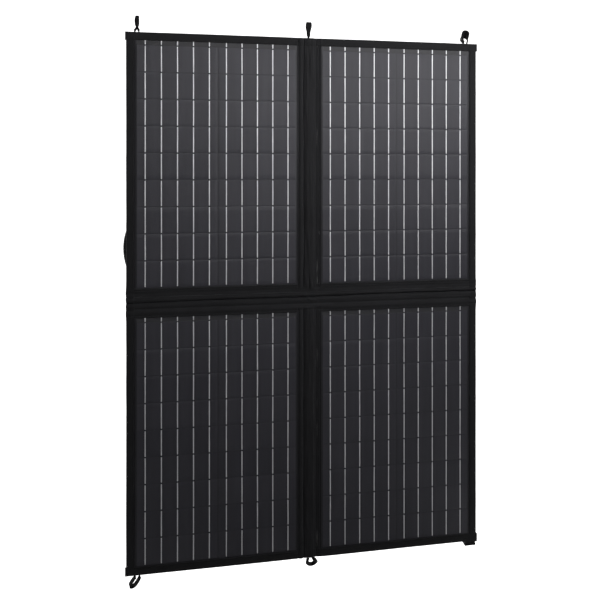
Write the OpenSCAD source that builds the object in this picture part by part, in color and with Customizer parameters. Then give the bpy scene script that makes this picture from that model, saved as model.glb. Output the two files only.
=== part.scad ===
// Folding solar blanket in carry-case form: four padded cloth panels in a
// two-by-two grid, each with a flexible laminate of third-cut cells
// behind a sewn window. It closes like a book about the upright fold line
// and then doubles over about the level fold strip into a flat case.
// Frame: X to the right, Z up, the solar faces look along -Y. The origin is
// where the two fold lines cross, on the plane of the rear cover.

/* [Blanket] */
// Width of the open blanket, side binding to side binding
total_w = 731; // [725:0.5:740]
// Height of the open blanket, hem to hem
total_h = 1060; // [1055:0.5:1075]
// Thickness of one padded panel, without its binding
panel_t = 6; // [6:0.1:6.2]
// Air left between neighbouring panels when the case is closed
fold_gap = 2.5; // [2.4:0.1:2.6]

/* [Windows] */
// Distance from the upright fold line to the near edge of a window
win_x0 = 25; // [24:0.1:26]
// Distance from the level fold line to the near edge of a window
win_z0 = 28.6; // [28:0.1:29]
// Width of each side border, window edge to outer edge
side_border = 15.5; // [15:0.1:16]
// Height of each hem, window edge to outer edge
hem_border = 16.4; // [16:0.1:17]

/* [Cells] */
// Width of one third-cut cell, the standard five-busbar size
cell_w = 156.75; // [156:0.05:157]
// Height of one third-cut cell
cell_h = 51.4; // [50:0.1:52]
// Distance from one cell row to the next
row_pitch = 52.7; // [52.6:0.05:52.8]
// Gap between the two columns of cells
col_gap = 2.6; // [2:0.1:2.7]
// Distance between neighbouring busbars on a cell
busbar_pitch = 31.35; // [31:0.05:31.5]
// Width of one busbar ribbon
ribbon_w = 1.8; // [1:0.1:2.2]
// Cell rows in each panel
rows = 9; // [9:1:9]

/* [Cloth and binding] */
// Thickness of the cover cloth
cloth_t = 1; // [1:0.1:1.1]
// Thickness of the binding tape
tape_t = 0.6; // [0.4:0.1:0.7]
// How far each hem tape stands past the side binding
tape_over = 2; // [1:0.1:2]
// Thickness of the bare two-layer cloth in the level fold strip
strip_t = 1.6; // [1.2:0.1:1.6]

/* [Hanging loops] */
// Length of a loop, from its swing line to the top of its bend
loop_len = 34.4; // [32:0.2:36]
// Lean of the top loops behind the upright, in degrees
lean_top = 50; // [40:1:60]
// Lean of the left and middle bottom loops behind straight down, in degrees
lean_bottom = 70; // [60:1:75]
// Lean of the right bottom loop behind straight down, in degrees
lean_bottom_right = 88; // [80:1:88]
// Outside width of a loop
loop_w = 16; // [15:0.5:18]
// Thickness of the doubled webbing of a loop
loop_t = 3; // [2:0.1:3.5]
// Width of the webbing of a loop, front to back
loop_d = 7; // [6:0.1:7]
// Distance of the corner loops from the upright fold line
loop_x = 342; // [335:1:345]
// Offset of the middle loops to the left of the upright fold line
loop_mid_x = 10; // [9.5:0.1:12]

/* [Carry handle] */
// Height of the middle of the handle above the level fold line
handle_z = 105; // [100:1:120]
// Half of the distance between the two ends of the handle
handle_half = 65; // [60:1:68]
// Height of the handle's arch
handle_h = 38; // [34:1:40]
// Lean of the handle from straight sideways, in degrees
handle_lean = 48; // [40:1:60]
// Distance of the handle's pivot line from the upright fold line
handle_x = 338; // [335:1:339]
// Distance of the handle's pivot line behind the rear cover
handle_y = 9.5; // [9.5:0.1:11]

/* [Rear pocket] */
// Width of the pocket
pocket_w = 236; // [230:1:240]
// Height of the pocket
pocket_h = 196; // [190:1:200]
// Depth of the pocket
pocket_d = 22; // [22:0.5:26]
// Left edge of the pocket, from the upright fold line
pocket_x = 300; // [298:1:305]
// Lower edge of the pocket, above the level fold line
pocket_z = 262; // [255:1:270]

/* [Output box] */
// Width of the output box
box_w = 90; // [88:1:92]
// Height of the output box
box_h = 60; // [58:1:62]
// Depth of the output box
box_d = 18; // [18:0.5:19]

/* [Hidden] */

$fn = 48;
cloth = [0.13, 0.13, 0.14];
tape = [0.09, 0.09, 0.10];
box_color = [0.15, 0.15, 0.16];
cable_color = [0.04, 0.04, 0.04];

over = 1;   // how far a cutter runs past what it cuts
lap = 0.01; // overlap that fuses touching parts

half_w = total_w / 2;
half_h = total_h / 2;
cover_x1 = half_w - tape_t;
cover_z1 = half_h - tape_t;
win_x1 = half_w - side_border;
win_z1 = half_h - hem_border;

fold_x = 1;      // cloth stops this far from the upright fold axis
fold_half = 1.25; // half of the bare gap at each level fold axis
axis_z = (3 * panel_t + 3 * fold_gap) / 2; // level fold axes lie this far above and below
strip_z = axis_z - fold_half;
flap_z = axis_z + fold_half;
edge_z = 23;     // full-thickness panel starts here
edge_wall = 1.2; // cloth that closes the panel's edge there

lam_lap = 4.5;   // laminate hidden beyond each side of the window
lam_x0 = win_x0 - lam_lap;
lam_x1 = win_x1 + lam_lap;
lam_z0 = edge_z + 1.4;
lam_z1 = win_z1 + 4.6;
stiffener_rim = 4; // stiffener beyond the laminate

cell_x0 = win_x0 + 3.6;
cell_z_top = win_z0 + 1.5;
cell_z_bottom = win_z0 + 9;
first_bar = (cell_w - 4 * busbar_pitch) / 2;
ribbon_end = 1.6;  // from a ribbon's end to the edge of its row pitch
tail_end = 1;      // from a ribbon tail's end to the laminate's edge

// layers, from the solar face to the back
y_front = -panel_t;
y_film = y_front + cloth_t;
y_bar = y_film + 0.3;
y_cell = y_bar + 0.15;
y_back = y_cell + 0.2;
y_board = y_back + 0.45;
y_rear = -cloth_t;
mid_y = -panel_t / 2;

module slab(x0, x1, y0, y1, z0, z1) {
  translate([x0, y0, z0]) cube([x1 - x0, y1 - y0, z1 - z0]);
}

// cylinder along X
module rod(r, h, center = false) {
  rotate([0, 90, 0]) cylinder(r = r, h = h, center = center);
}

// moves a piece drawn for the top right panel to the quadrant that sx and sz name
module quadrant(sx, sz) {
  mirror([sx < 0 ? 1 : 0, 0, 0]) mirror([0, 0, sz < 0 ? 1 : 0]) children();
}

// ---- Panels ----

module front_cover() {
  color(cloth) difference() {
    slab(fold_x, cover_x1, y_front, y_film, edge_z, cover_z1);
    slab(win_x0, win_x1, y_front - over, y_film + over, win_z0, win_z1);
  }
}

module fold_cloth(z0, z1) {
  slab(fold_x, cover_x1, mid_y - strip_t / 2, mid_y + strip_t / 2, z0, z1);
}

// flap: the bare cloth that runs on towards the level fold strip
module rear_cover(flap) {
  color(cloth) union() {
    slab(fold_x, cover_x1, y_rear, 0, edge_z, cover_z1);
    slab(fold_x, cover_x1, y_film, y_rear + lap, edge_z, edge_z + edge_wall);
    if (flap) fold_cloth(flap_z, edge_z + lap);
  }
}

module face_film() {
  color([0.24, 0.24, 0.27]) slab(lam_x0, lam_x1, y_film, y_bar, lam_z0, lam_z1);
}

module cells(z0) {
  color([0.10, 0.10, 0.13])
    for (c = [0, 1], r = [0 : rows - 1])
      translate([
        cell_x0 + c * (cell_w + col_gap),
        y_cell,
        z0 + r * row_pitch + (row_pitch - cell_h) / 2
      ])
        cube([cell_w, y_back - y_cell, cell_h]);
}

// one ribbon per busbar per row, plus the short tails that join the strings
module ribbons(z0, tail0, tail1) {
  color("silver")
    for (c = [0, 1], b = [0 : 4]) {
      x = cell_x0 + c * (cell_w + col_gap) + first_bar + b * busbar_pitch - ribbon_w / 2;
      for (r = [0 : rows - 1])
        translate([x, y_bar, z0 + r * row_pitch + ribbon_end])
          cube([ribbon_w, y_cell - y_bar, row_pitch - 2 * ribbon_end]);
      translate([x, y_bar, tail0]) cube([ribbon_w, y_cell - y_bar, tail1 - tail0]);
    }
}

// tails towards the hem
module top_ribbons() {
  ribbons(cell_z_top, cell_z_top + rows * row_pitch + ribbon_end, lam_z1 - tail_end);
}

// tails towards the level fold line
module bottom_ribbons() {
  ribbons(cell_z_bottom, lam_z0 + tail_end, cell_z_bottom - ribbon_end);
}

module backsheet() {
  color("white") slab(lam_x0, lam_x1, y_back, y_board, lam_z0, lam_z1);
}

module stiffener() {
  color("dimgray")
    slab(lam_x0 - stiffener_rim, lam_x1 + stiffener_rim, y_board, y_rear,
         lam_z0, lam_z1 + stiffener_rim);
}

module side_binding() {
  color(tape) difference() {
    slab(win_x1, half_w, y_front - tape_t, tape_t, edge_z, win_z1);
    slab(win_x1 - over, cover_x1, y_front, 0, edge_z - over, win_z1 + over);
  }
}

module hem_tape() {
  x1 = half_w + tape_over;
  color(tape) difference() {
    slab(fold_x, x1, y_front - tape_t, tape_t, win_z1, half_h);
    slab(fold_x - over, x1 - tape_t, y_front, 0, win_z1 - over, cover_z1);
  }
}

module fold_strip() {
  color(cloth) fold_cloth(-strip_z, strip_z);
}

// ---- Hanging loops ----

hem_gap = 0.3; // air between the hem and a loop's foot

// webbing bent into a U beyond its hem, leaning back, rounded at the foot about its swing line
module loop(lean) {
  r_out = loop_w / 2;
  foot_r = loop_d / 2;
  leg = loop_len - r_out;
  color(tape) translate([0, mid_y, half_h + hem_gap + foot_r]) rotate([-lean, 0, 0]) {
    translate([0, 0, leg]) rotate([90, 0, 0]) rotate_extrude(angle = 180)
      translate([r_out - loop_t, -loop_d / 2]) square([loop_t, loop_d]);
    for (s = [-1, 1]) translate([s * (r_out - loop_t / 2), 0, 0]) {
      translate([-loop_t / 2, -loop_d / 2, 0]) cube([loop_t, loop_d, leg + lap]);
      rod(foot_r, loop_t, center = true);
    }
    rod(foot_r, loop_w - 2 * lap, center = true);
  }
}

// ---- Carry handle ----

arc_r = (handle_half * handle_half + handle_h * handle_h) / (2 * handle_h);
arc_a = asin(handle_half / arc_r);
strap_t = 3;
strap_w = 14;
pin_r = 2.4;
pin_in = 7;       // pin length from the handle's end towards its middle
pin_out = 14;     // and away from it
grip_t = 9;
grip_w = 16;
grip_a = 72;      // angle of the arch that the grip covers
grip_clear = 0.1; // air between grip and strap
anchor_step = 9;  // from the handle's end to the middle of an anchor
pad_t = 1.6;
pad_in = 27;      // pad length towards the handle's middle
pad_out = 7;      // and away from it
barrel_r = 4.5;
barrel_h = 9;
pin_clear = 0.08;

// puts an upright arch on the handle's pivot line, at its resting lean
module handle_frame() {
  translate([-handle_x, handle_y, handle_z])
    rotate([0, 0, 180 - handle_lean]) rotate([90, 0, 0])
      translate([handle_h - arc_r, 0, 0]) children();
}

// section of thickness t and width w, centred on the arch
module arch_section(t, w) {
  translate([arc_r - t / 2, -w / 2]) square([t, w]);
}

module handle_strap() {
  color(tape) union() {
    handle_frame() rotate([0, 0, -arc_a]) rotate_extrude(angle = 2 * arc_a)
      arch_section(strap_t, strap_w);
    for (s = [-1, 1]) translate([-handle_x, handle_y, handle_z + s * handle_half])
      translate([0, 0, s > 0 ? -pin_in : -pin_out]) cylinder(r = pin_r, h = pin_in + pin_out);
  }
}

module handle_grip() {
  color([0.07, 0.07, 0.08])
    handle_frame() rotate([0, 0, -grip_a / 2]) rotate_extrude(angle = grip_a)
      difference() {
        arch_section(grip_t, grip_w);
        arch_section(strap_t + 2 * grip_clear, strap_w + 2 * grip_clear);
      }
}

// sewn-on pads, each with a block and barrel that hold one end pin
module handle_anchors() {
  block_y = pad_t - 0.1;
  color(tape)
    for (s = [-1, 1]) translate([-handle_x, 0, handle_z + s * (handle_half + anchor_step)])
      difference() {
        union() {
          translate([-11, 0, s > 0 ? -pad_in : -pad_out]) cube([24, pad_t, pad_in + pad_out]);
          translate([-barrel_r, block_y, -barrel_h / 2])
            cube([2 * barrel_r, handle_y - block_y, barrel_h]);
          translate([0, handle_y, -barrel_h / 2]) cylinder(r = barrel_r, h = barrel_h);
        }
        translate([0, handle_y, -30]) cylinder(r = pin_r + pin_clear, h = 60);
      }
}

// ---- Rear pocket ----

pocket_wall = 1;
zip_in = 14;  // from the pocket's sides to the zip tape's ends
coil_in = 4;  // from the tape's ends to the coil's ends
zip_z = pocket_z + pocket_h - 34;
zip_x0 = -pocket_x + zip_in;
zip_x1 = -pocket_x + pocket_w - zip_in;
slider_x = zip_x0 + 10;
zip_tape_t = 0.6;
pull_y = 5;   // pull's pin, behind the pocket
pull_pin_r = 0.9;
ear_r = 1.9;
ear_t = 1.8;

module pocket_shell() {
  x0 = -pocket_x;
  x1 = x0 + pocket_w;
  z1 = pocket_z + pocket_h;
  color(cloth) difference() {
    slab(x0, x1, 0, pocket_d, pocket_z, z1);
    slab(x0 + pocket_wall, x1 - pocket_wall, -over, pocket_d - pocket_wall,
         pocket_z + pocket_wall, z1 - pocket_wall);
    slab(zip_x0 + coil_in, zip_x1 - coil_in, pocket_d - 2, pocket_d + over,
         zip_z - 4, zip_z + 4);
  }
}

// flat tape and the closed coil along its middle
module pocket_zip_tape() {
  color(tape) translate([0, pocket_d, zip_z]) {
    slab(zip_x0, zip_x1, 0, zip_tape_t, -13, 13);
    slab(zip_x0 + coil_in, zip_x1 - coil_in, zip_tape_t - lap, 1.8, -2.5, 2.5);
  }
}

module slider_frame() {
  translate([slider_x, pocket_d, zip_z]) children();
}

// body with two ears, hollowed to clear the coil
module zip_slider() {
  color("dimgray") slider_frame() difference() {
    union() {
      slab(-6, 6, 0.8, 3.6, -4.4, 4.4);
      for (x = [-4.6, 2.8]) {
        slab(x, x + ear_t, 3.5, pull_y, -ear_r, ear_r);
        translate([x, pull_y, 0]) rod(ear_r, ear_t);
      }
    }
    slab(-7, 7, -over, 2.1, -2.8, 2.8);
    translate([-7, pull_y, 0]) rod(pull_pin_r + pin_clear, 14);
  }
}

// tab hung on a pin between the slider's two ears
module zip_pull() {
  color("gray") slider_frame() translate([0, pull_y, 0]) {
    rod(pull_pin_r, 9, center = true);
    slab(-2.4, 2.4, -0.8, 0.8, -30, -0.5);
  }
}

// ---- Output box, inside the pocket ----

half_box_w = box_w / 2;
half_box_h = box_h / 2;
box_x = -pocket_x + 60 + half_box_w;
box_z = pocket_z + 46 + half_box_h;
base_d = 10;       // the lid meets the base here
box_wall = 2;
screw_in = 5.5;    // from the box's sides to a screw's axis
post_r = 4;
flat_sockets = [-18, 0]; // X of the two flat sockets
round_x = 22;
round_y = 9.8;
round_r = 4;
lead_up = 13.5;    // middle of the lead, above the box's middle
lead_w = 10;
lead_t = 1.4;
lead_clear = 0.4;

module box_frame() {
  translate([box_x, 0, box_z]) children();
}

// at each corner screw, with Z turned to point backwards
module at_box_screws() {
  for (sx = [-1, 1], sz = [-1, 1])
    translate([sx * (half_box_w - screw_in), 0, sz * (half_box_h - screw_in)])
      rotate([-90, 0, 0]) children();
}

// tray from y0 to y1, hollow from in0 to in1, with screw posts from post0 to y1
module box_half(y0, y1, in0, in1, post0) {
  inner_w = half_box_w - box_wall;
  inner_h = half_box_h - box_wall;
  union() {
    difference() {
      slab(-half_box_w, half_box_w, y0, y1, -half_box_h, half_box_h);
      slab(-inner_w, inner_w, in0, in1, -inner_h, inner_h);
    }
    at_box_screws() translate([0, 0, post0]) cylinder(r = post_r, h = y1 - post0);
  }
}

// cable hole in the right wall and round socket hole in the lower wall
module wall_holes() {
  slab(half_box_w - 3, half_box_w + over, base_d - 3, base_d + 3, -3, 3);
  translate([round_x, round_y, -half_box_h - over]) cylinder(r = round_r + 0.1, h = 4);
}

module output_box_base() {
  color(box_color) box_frame() difference() {
    box_half(0, base_d, box_wall, base_d + over, 1);
    at_box_screws() translate([0, 0, 3]) cylinder(r = 1.45, h = 8);
    for (x = flat_sockets)
      slab(x - 7.2, x + 7.2, 3.4, base_d + 0.5, -half_box_h - over, -half_box_h + 3);
    slab(-6, 6, -over, box_wall + over, lead_up - 1.5, lead_up + 1.5);
    wall_holes();
  }
}

module output_box_lid() {
  color(box_color) box_frame() difference() {
    box_half(base_d, box_d, base_d - over, box_d - box_wall, base_d);
    at_box_screws() {
      translate([0, 0, base_d - over]) cylinder(r = 1.6, h = box_d);
      translate([0, 0, box_d - 2.2]) cylinder(r = 2.9, h = 3);
    }
    wall_holes();
  }
}

// board with three blocks and one upright can
module output_box_board() {
  board_y = 5.6;
  color("darkgreen") box_frame() {
    slab(-34, 34, 4, board_y, -half_box_h + 3, half_box_h - 3);
    slab(-30, -18, board_y, 9.5, 6, 20);
    for (x = [8, 18]) slab(x, x + 6, board_y, 8.5, 2, 22);
    translate([-6, board_y - 0.1, 14]) rotate([-90, 0, 0]) cylinder(r = 5, h = 8);
  }
}

module output_sockets() {
  z0 = -half_box_h + 0.2;
  cut_z = -half_box_h - over;
  color("silver") box_frame() {
    for (x = flat_sockets) difference() {
      slab(x - 6.6, x + 6.6, 5.8, 10, z0, -half_box_h + 14);
      slab(x - 6, x + 6, 6.4, 9.4, cut_z, -half_box_h + 12);
    }
    difference() {
      translate([round_x, round_y, z0]) cylinder(r = round_r, h = 12);
      translate([round_x, round_y, cut_z]) cylinder(r = 2.75, h = 10);
    }
  }
}

// strip below the sockets, with a round bead along its rear edge
module socket_dust_cover() {
  rear_y = 16.4;
  color([0.05, 0.05, 0.05]) box_frame() {
    slab(-28, 30, 1.5, rear_y, -half_box_h - 2.2, -half_box_h - 0.2);
    translate([-27, rear_y, -half_box_h - 1.2]) rod(1, 56);
  }
}

module output_box_screws() {
  color("gray") box_frame() at_box_screws() {
    translate([0, 0, box_d - 2.1]) cylinder(r = 2.7, h = 1.9);
    translate([0, 0, 5]) cylinder(r = 1.4, h = box_d - 7);
  }
}

// section of the flat lead, widened all round by clear
module lead_slab(y0, y1, clear = 0) {
  w = lead_w / 2 + clear;
  t = lead_t / 2 + clear;
  z = box_z + lead_up;
  slab(box_x - w, box_x + w, y0, y1, z - t, z + t);
}

// cuts the lead's slot through the stiffener or rear cover
module with_lead_slot() {
  difference() {
    children();
    lead_slab(y_board - lap, 3, lead_clear);
  }
}

// flat lead from the laminate through the stiffener and rear cover to the box
module junction_lead() {
  color("orangered") lead_slab(y_board, 3.8);
}

// ---- Output cable ----

coil_r = 24;
coil_a = 200;
cable_r = 2.5;
straight_end = 28; // the straight run ends this far right of the box
cable_x = box_x + half_box_w;

module output_cable() {
  color(cable_color) translate([cable_x, base_d, box_z]) {
    translate([-1.9, 0, 0]) rod(2.9, 9);
    translate([6, 0, 0]) rod(cable_r, straight_end - 6);
    translate([straight_end, 0, coil_r]) rotate([90, 0, 0]) rotate([0, 0, -90])
      rotate_extrude(angle = coil_a) translate([coil_r, 0]) circle(r = cable_r);
  }
}

// body and narrower barrel, carrying on from the cable's end
module output_plug() {
  a = coil_a - 90;
  x = cable_x + straight_end + coil_r * cos(a);
  z = box_z + coil_r + coil_r * sin(a);
  color(cable_color) translate([x, base_d, z]) rotate([0, -a, 0]) translate([0, 0, 0.03]) {
    cylinder(r = 4, h = 12);
    translate([0, 0, 11.9]) cylinder(r = 2.7, h = 10);
  }
}

quadrant(-1, 1) front_cover();  // top_left_front_cover
with_lead_slot() quadrant(-1, 1) rear_cover(true);  // top_left_rear_cover
quadrant(-1, 1) face_film();  // top_left_face_film
quadrant(-1, 1) cells(cell_z_top);  // top_left_cells
quadrant(-1, 1) top_ribbons();  // top_left_ribbons
quadrant(-1, 1) backsheet();  // top_left_backsheet
with_lead_slot() quadrant(-1, 1) stiffener();  // top_left_stiffener
quadrant(-1, 1) side_binding();  // top_left_side_binding
quadrant(-1, 1) hem_tape();  // top_left_hem_tape
quadrant(1, 1) front_cover();  // top_right_front_cover
quadrant(1, 1) rear_cover(false);  // top_right_rear_cover
quadrant(1, 1) face_film();  // top_right_face_film
quadrant(1, 1) cells(cell_z_top);  // top_right_cells
quadrant(1, 1) top_ribbons();  // top_right_ribbons
quadrant(1, 1) backsheet();  // top_right_backsheet
quadrant(1, 1) stiffener();  // top_right_stiffener
quadrant(1, 1) side_binding();  // top_right_side_binding
quadrant(1, 1) hem_tape();  // top_right_hem_tape
quadrant(-1, -1) front_cover();  // bottom_left_front_cover
quadrant(-1, -1) rear_cover(true);  // bottom_left_rear_cover
quadrant(-1, -1) face_film();  // bottom_left_face_film
quadrant(-1, -1) cells(cell_z_bottom);  // bottom_left_cells
quadrant(-1, -1) bottom_ribbons();  // bottom_left_ribbons
quadrant(-1, -1) backsheet();  // bottom_left_backsheet
quadrant(-1, -1) stiffener();  // bottom_left_stiffener
quadrant(-1, -1) side_binding();  // bottom_left_side_binding
quadrant(-1, -1) hem_tape();  // bottom_left_hem_tape
quadrant(1, -1) front_cover();  // bottom_right_front_cover
quadrant(1, -1) rear_cover(false);  // bottom_right_rear_cover
quadrant(1, -1) face_film();  // bottom_right_face_film
quadrant(1, -1) cells(cell_z_bottom);  // bottom_right_cells
quadrant(1, -1) bottom_ribbons();  // bottom_right_ribbons
quadrant(1, -1) backsheet();  // bottom_right_backsheet
quadrant(1, -1) stiffener();  // bottom_right_stiffener
quadrant(1, -1) side_binding();  // bottom_right_side_binding
quadrant(1, -1) hem_tape();  // bottom_right_hem_tape
quadrant(-1, 1) fold_strip();  // fold_strip_left
quadrant(1, 1) fold_strip();  // fold_strip_right
translate([-loop_x, 0, 0]) loop(lean_top);  // loop_top_left
translate([-loop_mid_x, 0, 0]) loop(lean_top);  // loop_top_middle
translate([loop_x, 0, 0]) loop(lean_top);  // loop_top_right
translate([-loop_x, 0, 0]) quadrant(1, -1) loop(lean_bottom);  // loop_bottom_left
translate([-loop_mid_x, 0, 0]) quadrant(1, -1) loop(lean_bottom);  // loop_bottom_middle
translate([loop_x, 0, 0]) quadrant(1, -1) loop(lean_bottom_right);  // loop_bottom_right
handle_strap();
handle_grip();
handle_anchors();
pocket_shell();
pocket_zip_tape();
zip_slider();
zip_pull();
output_box_base();
output_box_lid();
output_box_board();
output_sockets();
socket_dust_cover();
output_box_screws();
junction_lead();
output_cable();
output_plug();
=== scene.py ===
import math
import bpy
import numpy as np
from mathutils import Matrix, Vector


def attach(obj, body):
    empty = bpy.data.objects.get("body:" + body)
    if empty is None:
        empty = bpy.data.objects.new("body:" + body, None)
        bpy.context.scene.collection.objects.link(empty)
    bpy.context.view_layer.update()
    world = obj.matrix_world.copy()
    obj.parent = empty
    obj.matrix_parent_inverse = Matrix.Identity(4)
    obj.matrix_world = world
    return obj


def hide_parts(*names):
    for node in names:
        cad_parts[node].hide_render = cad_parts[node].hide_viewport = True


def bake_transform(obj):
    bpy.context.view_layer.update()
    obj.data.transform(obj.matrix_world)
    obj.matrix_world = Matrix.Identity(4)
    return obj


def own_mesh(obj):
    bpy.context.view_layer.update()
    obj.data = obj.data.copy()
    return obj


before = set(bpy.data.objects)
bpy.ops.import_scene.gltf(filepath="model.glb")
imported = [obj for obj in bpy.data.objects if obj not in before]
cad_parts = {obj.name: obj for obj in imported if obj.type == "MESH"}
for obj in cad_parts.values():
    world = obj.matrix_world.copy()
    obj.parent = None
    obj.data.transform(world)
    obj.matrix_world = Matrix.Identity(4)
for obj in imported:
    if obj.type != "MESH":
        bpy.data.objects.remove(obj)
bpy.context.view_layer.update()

S = 0.001                     # this file works in millimetres and stores metres
HALF_W, HALF_H = 365.5, 530.0
WX0, WX1 = 25.0, 350.0        # window edges, from the upright fold line
WZ0, WZ1 = 28.6, 513.6        # window edges, from the level fold line
HY, HZ = -3.0, 12.75          # level fold axes
CELL_W, COL_GAP, PITCH, BUS = 156.75, 2.6, 52.7, 31.35

# ---------------------------------------------------------------- helpers


def lattice(seed, n=64):
    return np.random.RandomState(seed).rand(n, n) * 2 - 1


_L = {}


def noise(x, z, sx, sz, seed):
    """Smooth value noise, -1..1, with cells sx by sz millimetres."""
    if seed not in _L:
        _L[seed] = lattice(seed)
    g = _L[seed]
    n = g.shape[0]
    u, v = np.asarray(x, float) / sx + 1000.3, np.asarray(z, float) / sz + 1000.7
    u, v = np.broadcast_arrays(u, v)
    i, j = np.floor(u).astype(int), np.floor(v).astype(int)
    a, b = u - i, v - j
    a, b = a * a * (3 - 2 * a), b * b * (3 - 2 * b)
    g00, g10 = g[i % n, j % n], g[(i + 1) % n, j % n]
    g01, g11 = g[i % n, (j + 1) % n], g[(i + 1) % n, (j + 1) % n]
    return (g00 * (1 - a) + g10 * a) * (1 - b) + (g01 * (1 - a) + g11 * a) * b


def bump(t, c, w):
    """1 at c, falling smoothly to 0 at c - w and c + w."""
    q = np.clip(np.abs(np.asarray(t, float) - c) / w, 0, 1)
    return (1 - q * q) ** 2


def step(t, a, b):
    q = np.clip((np.asarray(t, float) - a) / (b - a), 0, 1)
    return q * q * (3 - 2 * q)


def interp(t, xs, ys):
    """Rounded piecewise curve through the given points."""
    xs, ys = np.asarray(xs, float), np.asarray(ys, float)
    t = np.asarray(t, float)
    k = np.clip(np.searchsorted(xs, t) - 1, 0, len(xs) - 2)
    f = np.clip((t - xs[k]) / (xs[k + 1] - xs[k]), 0, 1)
    f = f * f * (3 - 2 * f)
    return ys[k] * (1 - f) + ys[k + 1] * f


def make(name, verts, faces, mat, smooth=True, uvs=None):
    me = bpy.data.meshes.new(name)
    v = np.asarray(verts, float) * S
    me.from_pydata([tuple(p) for p in v], [], [tuple(f) for f in faces])
    if uvs is not None:
        layer = me.uv_layers.new(name="Strap")
        idx = np.zeros(len(me.loops), int)
        me.loops.foreach_get("vertex_index", idx)
        layer.data.foreach_set("uv", np.asarray(uvs, float)[idx].astype(np.float32).ravel())
    me.polygons.foreach_set("use_smooth", [smooth] * len(me.polygons))
    me.materials.append(mat)
    me.validate()
    me.update()
    o = bpy.data.objects.new(name, me)
    bpy.context.scene.collection.objects.link(o)
    return o


def grid_faces(nr, nc, keep=None, flip=False, wrap_r=False, wrap_c=False):
    out = []
    for r in range(nr if wrap_r else nr - 1):
        for c in range(nc if wrap_c else nc - 1):
            if keep is not None and not keep[r, c]:
                continue
            r1, c1 = (r + 1) % nr, (c + 1) % nc
            f = (r * nc + c, r * nc + c1, r1 * nc + c1, r1 * nc + c)
            out.append(f[::-1] if flip else f)
    return out


def compact(verts, faces):
    used = sorted({i for f in faces for i in f})
    remap = {o: n for n, o in enumerate(used)}
    return [verts[i] for i in used], [tuple(remap[i] for i in f) for f in faces]


def join_lists(parts):
    v, f, u = [], [], []
    for p in parts:
        base = len(v)
        v.extend(p[0])
        f.extend([tuple(i + base for i in q) for q in p[1]])
        if len(p) > 2:
            u.extend(p[2])
    return v, f, (u or None)


def solid(o, t, offset=-1.0):
    m = o.modifiers.new("Thickness", "SOLIDIFY")
    m.thickness = t * S
    m.offset = offset
    m.use_even_offset = False
    return o


# -------------------------------------------------------------- materials


class Mat:
    """Small helper that builds a node material on one Principled shader."""

    def __init__(self, name, rough=0.8, metallic=0.0, spec=0.3):
        self.m = bpy.data.materials.new(name)
        self.m.use_nodes = True
        self.nt = self.m.node_tree
        self.p = next(n for n in self.nt.nodes if n.type == "BSDF_PRINCIPLED")
        self.p.inputs["Roughness"].default_value = rough
        self.p.inputs["Metallic"].default_value = metallic
        self.p.inputs["Specular IOR Level"].default_value = spec
        tc = self.nt.nodes.new("ShaderNodeTexCoord")
        self.obj = tc.outputs["Object"]
        self._xyz = None

    def node(self, kind, **kw):
        n = self.nt.nodes.new(kind)
        for k, v in kw.items():
            setattr(n, k, v)
        return n

    def link(self, a, b):
        self.nt.links.new(a, b)

    def sep(self):
        if self._xyz is None:
            n = self.node("ShaderNodeSeparateXYZ")
            self.link(self.obj, n.inputs[0])
            self._xyz = n.outputs
        return self._xyz

    def math(self, op, a, b=None, c=None, clamp=False):
        n = self.node("ShaderNodeMath", operation=op, use_clamp=clamp)
        for i, v in enumerate((a, b, c)):
            if v is None:
                continue
            if isinstance(v, (int, float)):
                n.inputs[i].default_value = v
            else:
                self.link(v, n.inputs[i])
        return n.outputs[0]

    def noise(self, scale, detail=3.0, rough=0.55, vec=None, stretch=None):
        n = self.node("ShaderNodeTexNoise")
        n.inputs["Scale"].default_value = scale
        n.inputs["Detail"].default_value = detail
        n.inputs["Roughness"].default_value = rough
        src = vec or self.obj
        if stretch:
            mp = self.node("ShaderNodeMapping")
            mp.inputs["Scale"].default_value = stretch
            self.link(src, mp.inputs["Vector"])
            src = mp.outputs[0]
        self.link(src, n.inputs["Vector"])
        return n.outputs["Fac"]

    def ramp(self, fac, stops):
        n = self.node("ShaderNodeValToRGB")
        cr = n.color_ramp
        while len(cr.elements) < len(stops):
            cr.elements.new(0.5)
        for e, (pos, col) in zip(cr.elements, stops):
            e.position = pos
            e.color = (*col, 1.0) if len(col) == 3 else col
        self.link(fac, n.inputs["Fac"])
        return n.outputs["Color"]

    def mix(self, fac, a, b, kind="MIX"):
        n = self.node("ShaderNodeMix", data_type="RGBA", blend_type=kind)
        for sock, v in ((n.inputs["Factor"], fac), (n.inputs["A"], a), (n.inputs["B"], b)):
            pass
        fac_in = [s for s in n.inputs if s.name == "Factor" and s.type == "VALUE"][0]
        a_in = [s for s in n.inputs if s.name == "A" and s.type == "RGBA"][0]
        b_in = [s for s in n.inputs if s.name == "B" and s.type == "RGBA"][0]
        for sock, v in ((fac_in, fac), (a_in, a), (b_in, b)):
            if isinstance(v, (int, float)):
                sock.default_value = v
            elif isinstance(v, tuple):
                sock.default_value = (*v, 1.0) if len(v) == 3 else v
            else:
                self.link(v, sock)
        return [s for s in n.outputs if s.type == "RGBA"][0]

    def color(self, out):
        self.link(out, self.p.inputs["Base Color"])

    def rough(self, out):
        self.link(out, self.p.inputs["Roughness"])

    def bump(self, height, dist, strength=1.0):
        n = self.node("ShaderNodeBump")
        n.inputs["Distance"].default_value = dist
        n.inputs["Strength"].default_value = strength
        self.link(height, n.inputs["Height"])
        if self.p.inputs["Normal"].is_linked:
            prev = self.p.inputs["Normal"].links[0].from_socket
            self.link(prev, n.inputs["Normal"])
        self.link(n.outputs[0], self.p.inputs["Normal"])

    def sine(self, v, period):
        return self.math("SINE", self.math("MULTIPLY", v, 2 * math.pi / period))


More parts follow.
